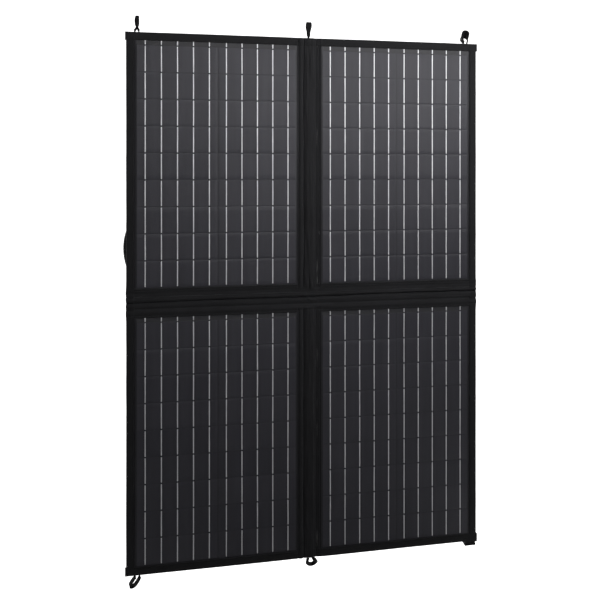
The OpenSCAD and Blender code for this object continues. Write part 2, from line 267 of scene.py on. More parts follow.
def weave_height(m, a, b, pa, pb):
    """Plain weave: over-and-under threads of pitch pa by pb metres."""
    sa = m.math("ABSOLUTE", m.sine(a, pa * 2))
    sb = m.math("ABSOLUTE", m.sine(b, pb * 2))
    sel = m.math("MULTIPLY", m.sine(m.math("ADD", a, pa / 2), pa * 2), m.sine(m.math("ADD", b, pb / 2), pb * 2))
    over = m.math("ADD", m.math("MULTIPLY", sel, 2.0), 0.5, clamp=True)
    first = m.math("MULTIPLY", sa, over)
    second = m.math("MULTIPLY", sb, m.math("SUBTRACT", 1.0, over))
    return m.math("ADD", first, second)


def cloth_material(name, dark, light, pitch=0.00062, sheen=0.10, crease=True):
    m = Mat(name, rough=0.82, spec=0.22)
    x, y, z = m.sep()
    xx = m.math("ADD", x, m.math("MULTIPLY", y, 0.7))
    w = weave_height(m, xx, z, pitch, pitch)
    slub = m.noise(900.0, 2.0, stretch=(1.0, 1.0, 0.12))
    slub2 = m.noise(900.0, 2.0, stretch=(0.12, 1.0, 1.0))
    fibre = m.math("MULTIPLY", m.math("ADD", slub, slub2), 0.5)
    cloud = m.noise(9.0, 4.0)
    mixed = m.math("ADD", m.math("MULTIPLY", w, 0.45), m.math("MULTIPLY", fibre, 0.55))
    base = m.ramp(mixed, [(0.15, dark), (0.85, light)])
    tone = m.ramp(cloud, [(0.3, (0.82, 0.82, 0.83)), (0.7, (1.16, 1.16, 1.18))])
    col = m.mix(1.0, base, tone, "MULTIPLY")
    geo = m.node("ShaderNodeNewGeometry")
    worn = m.math("MULTIPLY", m.math("SUBTRACT", geo.outputs["Pointiness"], 0.515), 9.0, clamp=True)
    worn = m.math("MULTIPLY", worn, m.noise(260.0, 3.0))
    col = m.mix(m.math("MULTIPLY", worn, 0.5, clamp=True), col, tuple(min(1.0, c * 2.4 + 0.01) for c in light))
    m.color(col)
    m.rough(m.math("ADD", 0.74, m.math("MULTIPLY", fibre, 0.18)))
    m.bump(w, 0.00022, 0.55)
    m.bump(m.noise(170.0, 3.0), 0.00035, 0.35)
    m.p.inputs["Sheen Weight"].default_value = sheen
    m.p.inputs["Sheen Roughness"].default_value = 0.45
    m.p.inputs["Sheen Tint"].default_value = (0.75, 0.76, 0.8, 1.0)
    return m.m


def strap_material(name, dark, light, rib=0.0011, along=True):
    """Webbing: ribs across the strap and a fine thread pattern, from the strap's own UVs in metres."""
    m = Mat(name, rough=0.82, spec=0.1)
    uvn = m.node("ShaderNodeUVMap", uv_map="Strap")
    s = m.node("ShaderNodeSeparateXYZ")
    m.link(uvn.outputs[0], s.inputs[0])
    u, v = s.outputs[0], s.outputs[1]
    ribs = m.math("ABSOLUTE", m.sine(u, rib * 2))
    chev = m.sine(m.math("ADD", v, m.math("MULTIPLY", m.math("ABSOLUTE", m.sine(u, rib * 2)), 0.0004)), 0.0008)
    h = m.math("ADD", m.math("MULTIPLY", ribs, 0.7), m.math("MULTIPLY", m.math("ABSOLUTE", chev), 0.3))
    fuzz = m.noise(1400.0, 2.0)
    t = m.math("ADD", m.math("MULTIPLY", h, 0.6), m.math("MULTIPLY", fuzz, 0.4))
    base = m.ramp(t, [(0.2, dark), (0.9, light)])
    col = m.mix(1.0, base, m.ramp(m.noise(30.0, 3.0), [(0.3, (0.8, 0.8, 0.8)), (0.7, (1.2, 1.2, 1.2))]), "MULTIPLY")
    m.color(col)
    m.rough(m.math("ADD", 0.68, m.math("MULTIPLY", fuzz, 0.2)))
    m.bump(h, 0.00028, 0.7)
    m.p.inputs["Sheen Weight"].default_value = 0.04
    return m.m


def laminate_material(top):
    """Textured face film over dark third-cut cells: fine fingers, cell gaps and a dimpled surface."""
    m = Mat("laminate_" + ("upper" if top else "lower"), rough=0.5, spec=0.35)
    x, y, z = m.sep()
    ax = m.math("MULTIPLY", m.math("ABSOLUTE", x), 1000.0)
    zz = m.math("MULTIPLY", m.math("ABSOLUTE", z), 1000.0)
    z0 = 30.1 if top else 37.6
    row = m.math("DIVIDE", m.math("SUBTRACT", zz, z0), PITCH)
    rf = m.math("FRACT", row)
    rmid = m.math("ABSOLUTE", m.math("SUBTRACT", rf, 0.5))           # 0.5 at a row gap
    gap_r = m.math("MULTIPLY", m.math("SUBTRACT", rmid, 0.5 - 0.9 / PITCH), 160.0, clamp=True)
    inside = m.math("MULTIPLY", m.math("GREATER_THAN", row, 0.0), m.math("LESS_THAN", row, 9.0))
    stub = m.math("SUBTRACT", 1.0, inside)
    col_mid = 28.6 + CELL_W + COL_GAP / 2
    cx = m.math("ABSOLUTE", m.math("SUBTRACT", ax, col_mid))
    gap_c = m.math("MULTIPLY", m.math("SUBTRACT", COL_GAP / 2 + 0.2, cx), 3.0, clamp=True)
    edge = m.math("ADD", m.math("GREATER_THAN", m.math("SUBTRACT", 28.6, ax), 0.0),
                  m.math("GREATER_THAN", m.math("SUBTRACT", ax, 28.6 + 2 * CELL_W + COL_GAP), 0.0), clamp=True)
    faint = m.math("MAXIMUM", m.math("MULTIPLY", gap_r, 0.4), m.math("MULTIPLY", gap_c, 0.6))
    gaps = m.math("MAXIMUM", faint, m.math("MAXIMUM", stub, edge))
    # each cell a shade of its own
    ci = m.math("FLOOR", m.math("DIVIDE", m.math("SUBTRACT", x, -1.0), 0.15935))
    comb = m.node("ShaderNodeCombineXYZ")
    m.link(ci, comb.inputs[0])
    m.link(m.math("FLOOR", row), comb.inputs[1])
    wn = m.node("ShaderNodeTexWhiteNoise", noise_dimensions="2D")
    m.link(comb.outputs[0], wn.inputs["Vector"])
    cell = m.mix(wn.outputs["Value"], (0.0265, 0.0260, 0.0330), (0.0330, 0.0320, 0.0395))
    fingers = m.sine(z, 0.00145)
    fing = m.math("MULTIPLY", m.math("ADD", fingers, 0.2), 0.9, clamp=True)
    cell = m.mix(m.math("MULTIPLY", fing, 0.35), cell, (0.052, 0.051, 0.062))
    streak = m.noise(60.0, 3.0, stretch=(1.0, 1.0, 0.08))
    cell = m.mix(1.0, cell, m.ramp(streak, [(0.3, (0.9, 0.9, 0.9)), (0.7, (1.1, 1.1, 1.1))]), "MULTIPLY")
    col = m.mix(m.math("MULTIPLY", gaps, 0.75), cell, (0.017, 0.017, 0.019))
    m.color(col)
    # dimples of the face film
    dim = m.math("MULTIPLY", m.sine(x, 0.00125), m.sine(z, 0.00125))
    m.rough(m.math("ADD", 0.43, m.math("MULTIPLY", m.noise(120.0, 3.0), 0.12)))
    m.bump(dim, 0.00012, 0.5)
    m.bump(m.noise(14.0, 2.0), 0.0012, 0.25)
    m.p.inputs["Coat Weight"].default_value = 0.0
    return m.m


def ribbon_material():
    m = Mat("ribbon_tin", rough=0.46, metallic=0.45, spec=0.35)
    n = m.noise(220.0, 4.0, stretch=(1.0, 1.0, 0.1))
    m.color(m.ramp(n, [(0.25, (0.58, 0.58, 0.61)), (0.75, (0.74, 0.74, 0.76))]))
    m.rough(m.math("ADD", 0.44, m.math("MULTIPLY", n, 0.25)))
    m.bump(m.noise(1500.0, 2.0), 0.00005, 0.4)
    return m.m


def moulded_material(name, dark, light, rough=0.5, grain=1800.0):
    m = Mat(name, rough=rough, spec=0.4)
    n = m.noise(grain, 2.0)
    c = m.noise(25.0, 3.0)
    col = m.mix(1.0, m.ramp(n, [(0.3, dark), (0.7, light)]), m.ramp(c, [(0.3, (0.88,) * 3), (0.7, (1.1,) * 3)]), "MULTIPLY")
    geo = m.node("ShaderNodeNewGeometry")
    worn = m.math("MULTIPLY", m.math("SUBTRACT", geo.outputs["Pointiness"], 0.53), 6.0, clamp=True)
    m.color(m.mix(m.math("MULTIPLY", worn, 0.4), col, tuple(min(1.0, q * 2.5 + 0.02) for q in light)))
    m.rough(m.math("ADD", rough - 0.06, m.math("MULTIPLY", n, 0.12)))
    m.bump(n, 0.00006, 0.6)
    return m.m


def metal_material(name, dark, light, rough=0.32):
    m = Mat(name, rough=rough, metallic=0.85, spec=0.5)
    n = m.noise(500.0, 4.0, stretch=(1.0, 1.0, 0.15))
    m.color(m.ramp(n, [(0.3, dark), (0.7, light)]))
    m.rough(m.math("ADD", rough, m.math("MULTIPLY", n, 0.2)))
    m.bump(n, 0.00003, 0.4)
    return m.m


CLOTH = cloth_material("cover_cloth", (0.0062, 0.0062, 0.0070), (0.0145, 0.0145, 0.0160))
CLOTH_REAR = cloth_material("rear_cloth", (0.0068, 0.0068, 0.0076), (0.0150, 0.0150, 0.0164), pitch=0.00078)
TAPE = cloth_material("binding_tape", (0.0056, 0.0056, 0.0063), (0.0122, 0.0122, 0.0134), pitch=0.00045, sheen=0.08)
WEB = strap_material("webbing", (0.0032, 0.0032, 0.0035), (0.0105, 0.0105, 0.0112))
THREAD = strap_material("thread", (0.0120, 0.0120, 0.0128), (0.0380, 0.0380, 0.0400), rib=0.0004)
LAM = {True: laminate_material(True), False: laminate_material(False)}
TIN = ribbon_material()
GRIP = moulded_material("grip_rubber", (0.010, 0.010, 0.0105), (0.020, 0.020, 0.021), 0.6, 1200.0)
BOX = moulded_material("box_plastic", (0.014, 0.014, 0.015), (0.028, 0.028, 0.030), 0.48, 2200.0)
RUBBER = moulded_material("dust_rubber", (0.010, 0.010, 0.010), (0.018, 0.018, 0.018), 0.7, 1500.0)
CABLE = moulded_material("cable_jacket", (0.010, 0.010, 0.010), (0.020, 0.020, 0.020), 0.45, 900.0)
BLACK_METAL = metal_material("zip_black", (0.020, 0.020, 0.021), (0.060, 0.060, 0.062), 0.35)
STEEL = metal_material("screw_steel", (0.40, 0.40, 0.41), (0.62, 0.62, 0.63), 0.28)
BACK = moulded_material("backsheet_white", (0.50, 0.50, 0.50), (0.60, 0.60, 0.60), 0.6, 600.0)
BOARD = moulded_material("stiffener_grey", (0.06, 0.06, 0.06), (0.10, 0.10, 0.10), 0.7, 700.0)
PCB = moulded_material("circuit_board", (0.006, 0.07, 0.025), (0.012, 0.11, 0.045), 0.4, 900.0)
LEAD = moulded_material("lead_insulation", (0.30, 0.03, 0.015), (0.42, 0.05, 0.02), 0.45, 900.0)
CELL = moulded_material("cell_silicon", (0.008, 0.009, 0.016), (0.014, 0.015, 0.024), 0.3, 1500.0)

for n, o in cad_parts.items():
    kind = ("cells" in n and CELL) or ("backsheet" in n and BACK) or ("stiffener" in n and BOARD) or ("face_film" in n and LAM["top_" in n]) \
        or ("ribbons" in n and TIN) or ("cover" in n and "dust" not in n and CLOTH) or ("binding" in n and TAPE) or ("hem_tape" in n and TAPE) \
        or ("zip_slider" in n and BLACK_METAL) or ("zip_pull" in n and BLACK_METAL) or ("dust" in n and RUBBER) or ("screws" in n and STEEL) \
        or ("sockets" in n and STEEL) or ("board" in n and PCB) or ("junction" in n and LEAD) or ("cable" in n and CABLE) or ("box" in n and BOX) \
        or ("plug" in n and BOX) or TAPE
    for sl in o.material_slots:
        sl.link = "DATA"
    o.data.materials.clear()
    o.data.materials.append(kind)

# ------------------------------------------------------- shared cloth shape


def hinge_r(x, upper):
    """Half thickness of the cloth at a level fold axis. The pieces that meet there share it."""
    x = np.asarray(x, float)
    base = 2.75 if upper else 2.15
    r = base + 0.30 * noise(x, 0 * x, 34, 1, 11 if upper else 12) + 0.14 * noise(x, 0 * x, 11, 1, 13 if upper else 14)
    r = r + (0.55 if upper else 0.25) * bump(x, 6, 26) * (0.4 + noise(x, 0 * x, 6, 1, 15))
    edge = step(np.abs(x), 345, 362)
    return r + 0.25 * edge


def v_relief(x, z):
    """How far the cloth over the upright fold stands forward of the panel faces."""
    x, z = np.asarray(x, float), np.asarray(z, float)
    drift = 1.6 * noise(0 * x, z, 1, 95, 21) + 0.7 * noise(0 * x, z, 1, 31, 22)
    xs = x - drift * bump(x, 0, 24)
    f = interp(xs, [-25, -23.2, -21, -18, -14.5, -12, -9, -4, 2, 7, 11, 14, 18, 22, 25],
               [0.10, -1.55, 0.20, 1.10, 0.30, -2.60, -0.20, 1.35, 1.60, 1.05, -1.00, -2.60, -1.70, -1.10, 0.10])
    inside = bump(x, 0, 26)
    wr = 0.75 * noise(x, z, 4.3, 46, 23) + 0.50 * noise(x, z, 2.4, 24, 24) + 0.28 * noise(x + z * 0.06, z, 1.7, 15, 25)
    near_h = 1.0 + 1.3 * np.exp(-((np.abs(z) - 14) / 34.0) ** 2)
    near_top = 1.0 + 0.5 * np.exp(-((np.abs(z) - 505) / 40.0) ** 2)
    return f + wr * inside * 1.05 * near_h * near_top


def lip(d):
    """Height of the turned window edge, d millimetres outside it."""
    d = np.asarray(d, float)
    rise = np.sqrt(np.clip(1 - (1 - np.clip(d / 1.1, 0, 1)) ** 2, 0, 1))
    h = -0.75 + 0.95 * rise
    h = h - 0.55 * bump(d, 4.0, 1.3)
    return h + (0.0 - 0.20) * step(d, 4.6, 9.0)


def front_y(x, z):
    """Front surface of the cloth at rest, for |z| from 12.75 to the hem. The solar side is -Y."""
    x, z = np.broadcast_arrays(np.asarray(x, float), np.asarray(z, float))
    ax, az = np.abs(x), np.abs(z)
    dx = np.maximum(WX0 - ax, ax - WX1)
    dz = np.maximum(WZ0 - az, az - WZ1)
    d = np.where((dx > 0) & (dz > 0), np.hypot(dx, dz), np.maximum(dx, dz))
    d = np.clip(d, 0, None)
    h = lip(d)
    vz = step(az, 14, 30)
    band = (ax < WX0).astype(float)
    h = h + band * v_relief(x, z) * (0.25 + 0.75 * vz)
    wave = 0.16 * noise(x, z, 70, 55, 31) + 0.08 * noise(x, z, 17, 19, 32)
    h = h + wave * step(d, 1.0, 4.0) * (1 - 0.6 * step(d, 12, 16))
    y = -6.05 - h
    # between the windows and the level fold strip
    top = z > 0
    pr = np.where(top, interp(az, [12.75, 15.5, 19.0, 23.0, 26.0], [0.0, -0.35, -0.95, -0.25, 0.0]),
                  interp(az, [12.75, 14.6, 17.5, 20.0, 22.5, 26.0], [0.0, 0.75, 1.25, 0.95, -0.35, 0.0]))
    wrk = 0.42 * noise(x, z, 42, 5.5, 33) + 0.22 * noise(x, z, 15, 3.4, 34)
    mid = bump(az, 19.5, 8.0)
    hinge = -3.0 - np.where(top, hinge_r(x, True), hinge_r(x, False))
    k = step(az, 12.75, 22.0)
    yb = hinge * (1 - k) + y * k - (pr + wrk * mid * (1.0 + 1.2 * bump(x, 0, 60)))
    near = az < 28.0
    kk = step(az, 26.0, 28.4)
    return np.where(near, yb * (1 - kk) + y * kk, y)


def rear_y(x, z):
    x, z = np.broadcast_arrays(np.asarray(x, float), np.asarray(z, float))
    ax, az = np.abs(x), np.abs(z)
    y = 0.12 + 0.16 * noise(x, z, 60, 75, 41) + 0.07 * noise(x, z, 19, 22, 42)
    y = y - 0.45 * bump(ax, 14.5, 2.0) * step(az, 20, 26) - 0.45 * bump(az, 25.0, 2.0) * step(ax, 10, 16)
    wr = 0.40 * noise(x, z, 4.0, 44, 43) + 0.2 * noise(x, z, 2.2, 18, 44)
    y = y + (0.5 + wr) * bump(x, 0, 13.5) - 0.9 * bump(x, 0, 2.2) * step(az, 14, 24)
    hinge = -3.0 + np.where(z > 0, hinge_r(x, True), hinge_r(x, False))
    k = step(az, 12.75, 21.0)
    yb = hinge * (1 - k) + y * k + 0.30 * noise(x, z, 30, 5, 45) * bump(az, 18, 6)
    return np.where(az < 23, yb, y)


CAPS = [math.radians(a) for a in (15, 35, 60, 90, 120, 145, 165, 180)]


def lines_x():
    xs = set()
    for e in (WX0, WX1):
        sgn = -1 if e == WX0 else 1
        for d in (0, 0.2, 0.5, 0.85, 1.3, 2.0, 2.8, 3.4, 4.0, 4.6, 5.3, 6.5, 8.5, 11.0, 13.5):
            xs.add(round(e + sgn * d, 3))
    xs |= {round(v, 3) for v in np.arange(0.0, 24.0, 0.9)}
    xs |= {round(v, 3) for v in np.linspace(WX0, WX1, 56)}
    xs |= {HALF_W - 0.8}
    xs = sorted(v for v in xs if v <= HALF_W - 0.8)
    out = [xs[0]]
    for v in xs[1:]:
        if v - out[-1] > 0.12:
            out.append(v)
    return np.array([-v for v in out[:0:-1]] + out)


def lines_z():
    zs = set()
    for e, sgn in ((WZ0, -1), (WZ1, 1)):
        for d in (0, 0.2, 0.5, 0.85, 1.3, 2.0, 2.8, 3.4, 4.0, 4.6, 5.3, 6.5, 8.5, 11.0, 13.5):
            zs.add(round(e + sgn * d, 3))
    zs |= {round(v, 3) for v in np.arange(HZ, WZ0, 0.9)}
    zs |= {round(v, 3) for v in np.linspace(WZ0, WZ1, 122)}
    zs |= {HALF_H - 0.9}
    zs = sorted(v for v in zs if v <= HALF_H - 0.9)
    out = [HZ]
    for v in zs:
        if v - out[-1] > 0.12:
            out.append(v)
    return np.array(out)


XS, ZS = lines_x(), lines_z()


def cover(sz, side):
    """One continuous cloth over the upper or lower pair of panels. side -1 is the solar side with the windows."""
    z = ZS * sz
    X, Z = np.meshgrid(XS, z)
    Y = front_y(X, Z) if side < 0 else rear_y(X, Z)
    nr, nc = X.shape
    keep = np.ones((nr - 1, nc - 1), bool)
    if side < 0:
        mx, mz = (XS[:-1] + XS[1:]) / 2, (ZS[:-1] + ZS[1:]) / 2
        ix = (np.abs(mx) > WX0) & (np.abs(mx) < WX1)
        iz = (mz > WZ0) & (mz < WZ1)
        keep &= ~(iz[:, None] & ix[None, :])
    verts = np.stack([X, Y, Z], -1).reshape(-1, 3)
    faces = grid_faces(nr, nc, keep)
    # orient outwards: rows run with z, columns with x
    flip = (sz > 0) != (side < 0)
    if flip:
        faces = [f[::-1] for f in faces]
    if side < 0:
        r = hinge_r(XS, sz > 0)
        rows = [np.stack([XS, HY - r * math.cos(a), sz * (HZ - r * math.sin(a))], -1) for a in CAPS]
        cap = np.concatenate(rows)
        start = len(verts)
        verts = np.concatenate([verts, cap])
        index = [np.arange(nc)] + [start + i * nc + np.arange(nc) for i in range(len(rows))]
        for i in range(len(rows)):
            a, b = index[i], index[i + 1]
            for c in range(nc - 1):
                f = (a[c], a[c + 1], b[c + 1], b[c])
                faces.append(f if (sz > 0) == True else f[::-1])
    v, f = compact(verts.tolist(), faces)
    name = ("front" if side < 0 else "rear") + "_cloth_" + ("upper" if sz > 0 else "lower")
    return make(name, v, f, CLOTH if side < 0 else CLOTH_REAR)


def outward(o, ref):
    """Turns the faces so that they point away from ref's side."""
    me = o.data
    me.update()
    n = np.zeros(len(me.polygons) * 3)
    me.polygons.foreach_get("normal", n)
    a = np.zeros(len(me.polygons))
    me.polygons.foreach_get("area", a)
    if float((n.reshape(-1, 3) * a[:, None]).sum(0) @ np.array(ref, float)) < 0:
        me.flip_normals()
    return o


NAMES = {1: "top", -1: "bottom"}
for sz in (1, -1):
    f = outward(cover(sz, -1), (0, -1, 0))
    solid(f, 0.8)
    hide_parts(NAMES[sz] + "_left_front_cover", NAMES[sz] + "_right_front_cover")
    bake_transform(f)
    b = outward(cover(sz, 1), (0, 1, 0))
    solid(b, 0.8)
    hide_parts(NAMES[sz] + "_left_rear_cover", NAMES[sz] + "_right_rear_cover")
    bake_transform(b)

# ------------------------------------------------------- level fold strip


def strip_front(x, z):
    x, z = np.broadcast_arrays(np.asarray(x, float), np.asarray(z, float))
    wav = 1.5 * noise(x, 0 * x, 70, 1, 51) + 0.6 * noise(x, 0 * x, 21, 1, 52) + 1.2 * x / 365.0
    c = 2.8 + wav                                    # the main crease
    near = bump(x, 2, 42)
    prof = np.where(z > c, interp((z - c) / (HZ - c), [0, 0.16, 0.45, 1.0], [-3.1, 0.1, 1.35, 0.0]),
                    interp((c - z) / (c + HZ), [0, 0.10, 0.35, 0.65, 0.88, 1.0], [-3.1, -0.9, 0.95, 1.15, -0.35, 0.0]))
    w = 0.60 * noise(x, z, 36, 4.5, 53) + 0.35 * noise(x, z, 13, 3.0, 54) + near * 1.6 * noise(x + 1.4 * z, z, 7.5, 7.0, 55)
    edge = bump(z, 0, HZ)
    t = (z + HZ) / (2 * HZ)
    base = -3.0 - (hinge_r(x, False) * (1 - t) + hinge_r(x, True) * t)
    return base - 0.35 * edge - prof * np.minimum(1, edge * 3) - w * edge - near * 0.5 * edge


def strip_rear(x, z):
    x, z = np.broadcast_arrays(np.asarray(x, float), np.asarray(z, float))
    edge = bump(z, 0, HZ)
    t = (z + HZ) / (2 * HZ)
    base = -3.0 + (hinge_r(x, False) * (1 - t) + hinge_r(x, True) * t)
    w = 0.4 * noise(x, z, 33, 5.0, 56) + 0.2 * noise(x, z, 12, 3.2, 57)
    return base + (0.6 + w) * edge - 0.8 * bump(z, 0.5, 2.0)


def strip():
    zf = np.arange(HZ, -HZ - 0.01, -0.85)
    zf[-1] = -HZ
    rows = [np.stack([XS, strip_front(XS, 0 * XS + z), 0 * XS + z], -1) for z in zf]
    r = hinge_r(XS, False)
    rows += [np.stack([XS, HY - r * math.cos(a), -HZ - r * math.sin(a)], -1) for a in CAPS[:-1]]
    rows += [np.stack([XS, strip_rear(XS, 0 * XS + z), 0 * XS + z], -1) for z in zf[::-1]]
    r = hinge_r(XS, True)
    rows += [np.stack([XS, HY + r * math.cos(a), HZ + r * math.sin(a)], -1) for a in CAPS[:-1]]
    v = np.concatenate(rows)
    nr, nc = len(rows), len(XS)
    faces = grid_faces(nr, nc, wrap_r=True)
    # close both ends
    faces.append(tuple(i * nc for i in range(nr)))
    faces.append(tuple(i * nc + nc - 1 for i in range(nr))[::-1])
    o = make("fold_strip_cloth", v.tolist(), faces, CLOTH)
    return o


s = strip()
import bmesh


def fix_normals(o):
    bm = bmesh.new()
    bm.from_mesh(o.data)
    bmesh.ops.recalc_face_normals(bm, faces=bm.faces)
    bm.to_mesh(o.data)
    bm.free()
    return o


fix_normals(s)
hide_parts("fold_strip_left", "fold_strip_right")
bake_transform(s)

# --------------------------------------------------------- binding and hems


def u_ring(yf, yr, x_in, x_out, t=0.6):
    """Cross-section points of a tape folded round an edge, from the front leg's inner edge to the rear leg's."""
    ym, r = (yf + yr) / 2, (yr - yf) / 2 + t
    pts = [(x_in, yf - 0.02), (x_in + 0.25, yf - t * 0.75), (x_in + 0.9, yf - t), (x_in + 4, yf - t - 0.05), (x_out - 5, yf - t - 0.02), (x_out - 2.2, yf - t + 0.05)]
    for a in range(0, 181, 20):
        q = math.radians(a)
        pts.append((x_out - 1.7 + 1.7 * math.sin(q), ym - (r - 0.05) * math.cos(q) * (1 - 0.06 * math.sin(q))))
    pts += [(x_out - 2.2, yr + t - 0.05), (x_out - 5, yr + t + 0.02), (x_in + 4, yr + t + 0.05), (x_in + 0.9, yr + t), (x_in + 0.25, yr + t * 0.75), (x_in, yr + 0.02)]
    return pts


def side_binding(sx, part):
    """part 1 upper, -1 lower, 0 the level strip between the fold axes."""
    xi, xo = HALF_W - 15.5, HALF_W
    rings = []
    if part == 0:
        zs = np.linspace(HZ, -HZ, 24)
        for z in zs:
            xm = sx * 357.0
            yf, yr = float(strip_front(xm, z)), float(strip_rear(xm, z))
            e = 1 - abs(z) / HZ
            k = min(1.0, (1 - abs(z) / HZ) * 5)
            r = float(hinge_r(sx * 362.0, z > 0)) + 0.1
            yf, yr = (HY - r) * (1 - k) + yf * k, (HY + r) * (1 - k) + yr * k
            out = xo + 0.9 * math.sin(math.pi * e) * 0.8 + 0.35 * float(noise(z, 0.0, 6, 1, 61 + sx))
            rings.append([(sx * px, py, z) for px, py in u_ring(yf, yr, xi, out)])
        ends = [(0, HZ, 1), (len(rings) - 1, -HZ, -1)]
    else:
        zs = [z for z in ZS if z < WZ1 + 6]
        for z in zs:
            zz = z * part
            xm = sx * 358.0
            yf, yr = float(front_y(xm, zz)), float(rear_y(xm, zz))
            r = float(hinge_r(sx * 362.0, part > 0)) + 0.1
            k = min(1.0, (z - HZ) / 9.0)
            k = k * k * (3 - 2 * k)
            yf, yr = (HY - r) * (1 - k) + yf * k, (HY + r) * (1 - k) + yr * k
            bulge = 0.9 * math.exp(-((z - 20) / 9.0) ** 2)
            out = xo + bulge + 0.22 * float(noise(zz, 0.0, 48, 1, 63 + sx)) + 0.10 * float(noise(zz, 0.0, 13, 1, 65 + sx))
            if z <= HZ + 0.01:
                out = xo + 0.1
            rings.append([(sx * px, py, zz) for px, py in u_ring(yf, yr, xi, out)])
        ends = [(0, HZ * part, -part)]
    n = len(rings[0])
    verts = [p for ring in rings for p in ring]
    faces = grid_faces(len(rings), n)
    half = n // 2
    for ri, zc, d in ends:
        # half-round end about the fold axis, swept from the front half of the ring
        ring = rings[ri]
        front = [p for p in ring if p[1] <= HY + 1e-6][: half + 1]
        base = [ri * n + i for i in range(len(front))]
        prev = base
        for a in CAPS:
            cur = []
            for i, p in enumerate(front):
                r = HY - p[1]
                verts.append((p[0], HY - r * math.cos(a), zc + d * r * math.sin(a)))
                cur.append(len(verts) - 1)
            for i in range(len(front) - 1):
                faces.append((prev[i], prev[i + 1], cur[i + 1], cur[i]))
            prev = cur
    uv = [(p[2] * S, (abs(p[0]) + p[1]) * S) for p in verts]
    nm = "side_binding_" + ("left" if sx < 0 else "right") + {1: "_upper", -1: "_lower", 0: "_strip"}[part]
    o = make(nm, verts, faces, TAPE, uvs=uv)
    bm = bmesh.new()
    bm.from_mesh(o.data)
    bmesh.ops.remove_doubles(bm, verts=bm.verts, dist=1e-6)
    bmesh.ops.recalc_face_normals(bm, faces=bm.faces)
    bm.to_mesh(o.data)
    bm.free()
    me = o.data
    # the side wall must look outwards
    tot = 0.0
    for p in me.polygons:
        tot += p.normal.x * sx * p.area
    if tot < 0:
        me.flip_normals()
    return o


for sx, side in ((-1, "left"), (1, "right")):
    for part, half in ((1, "top"), (-1, "bottom"), (0, None)):
        o = side_binding(sx, part)
        if half:
            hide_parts(f"{half}_{side}_side_binding")
        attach(o, f"panel_{half}_{side}" if half else f"strip_{side}")


def hem(sz):
    """Tape folded over the upper or lower hem, one piece across both panels."""
    xs = [x for x in XS if abs(x) < HALF_W - 1.2]
    xs = [-(HALF_W + 2.0), -(HALF_W + 1.7), -(HALF_W + 1.0), -(HALF_W - 0.5)] + xs + [HALF_W - 0.5, HALF_W + 1.0, HALF_W + 1.7, HALF_W + 2.0]
    rings = []
    for i, x in enumerate(xs):
        xc = max(-362.0, min(362.0, x))
        zi = HALF_H - 16.4 + 0.25 * float(noise(x, 0.0, 60, 1, 71 + sz))
        zi2 = zi
        yf = float(front_y(xc, sz * (HALF_H - 8.0))) - (0.12 if abs(x) > 350 else 0)
        yr = float(rear_y(xc, sz * (HALF_H - 8.0)))
        zo = HALF_H + 0.20 * float(noise(x, 0.0, 75, 1, 73 + sz)) + 0.10 * float(noise(x, 0.0, 19, 1, 74 + sz))
        zo += 3.2 * float(step(x, 336, 348)) * (0.8 + 0.2 * math.sin(x / 5.0)) if sz < 0 else 0.0
        ring = u_ring(yf, yr, zi2, zo, t=0.75)
        if abs(x) > HALF_W + 1.2:
            k = 0.55 if abs(x) > HALF_W + 1.9 else 0.85
            ym = (yf + yr) / 2
            ring = [(zi + 0.6 + (p - zi) * 0.97 if k < 0.8 else p, ym + (q - ym) * k) for p, q in ring]
        rings.append([(x, q, sz * p) for p, q in ring])
    n = len(rings[0])
    verts = [p for ring in rings for p in ring]
    faces = grid_faces(len(rings), n)
    faces.append(tuple(range(n)))
    faces.append(tuple((len(rings) - 1) * n + i for i in range(n))[::-1])
    uv = [(p[0] * S, (abs(p[2]) + p[1]) * S) for p in verts]
    o = make("hem_tape_" + ("upper" if sz > 0 else "lower"), verts, faces, TAPE, uvs=uv)
    fix_normals(o)
    me = o.data
    if sum(p.normal.z * sz * p.area for p in me.polygons) < 0:
        me.flip_normals()
    return o


for sz in (1, -1):
    o = hem(sz)
    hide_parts(NAMES[sz] + "_left_hem_tape", NAMES[sz] + "_right_hem_tape")
    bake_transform(o)

# ------------------------------------------------------ laminates, ribbons


def bus_x():
    out = []
    for c in (0, 1):
        for b in range(5):
            out.append(28.6 + c * (CELL_W + COL_GAP) + (CELL_W - 4 * BUS) / 2 + b * BUS)
    return out


def lam_y(x, z, sx, sz):
    """Front surface of a laminate: very slightly wavy. laminate() sets each cell a hair proud of its gaps."""
    x, z = np.asarray(x, float), np.asarray(z, float)
    return -5.05 - 0.22 * noise(x, z, 130, 150, 81 + sx + 3 * sz)


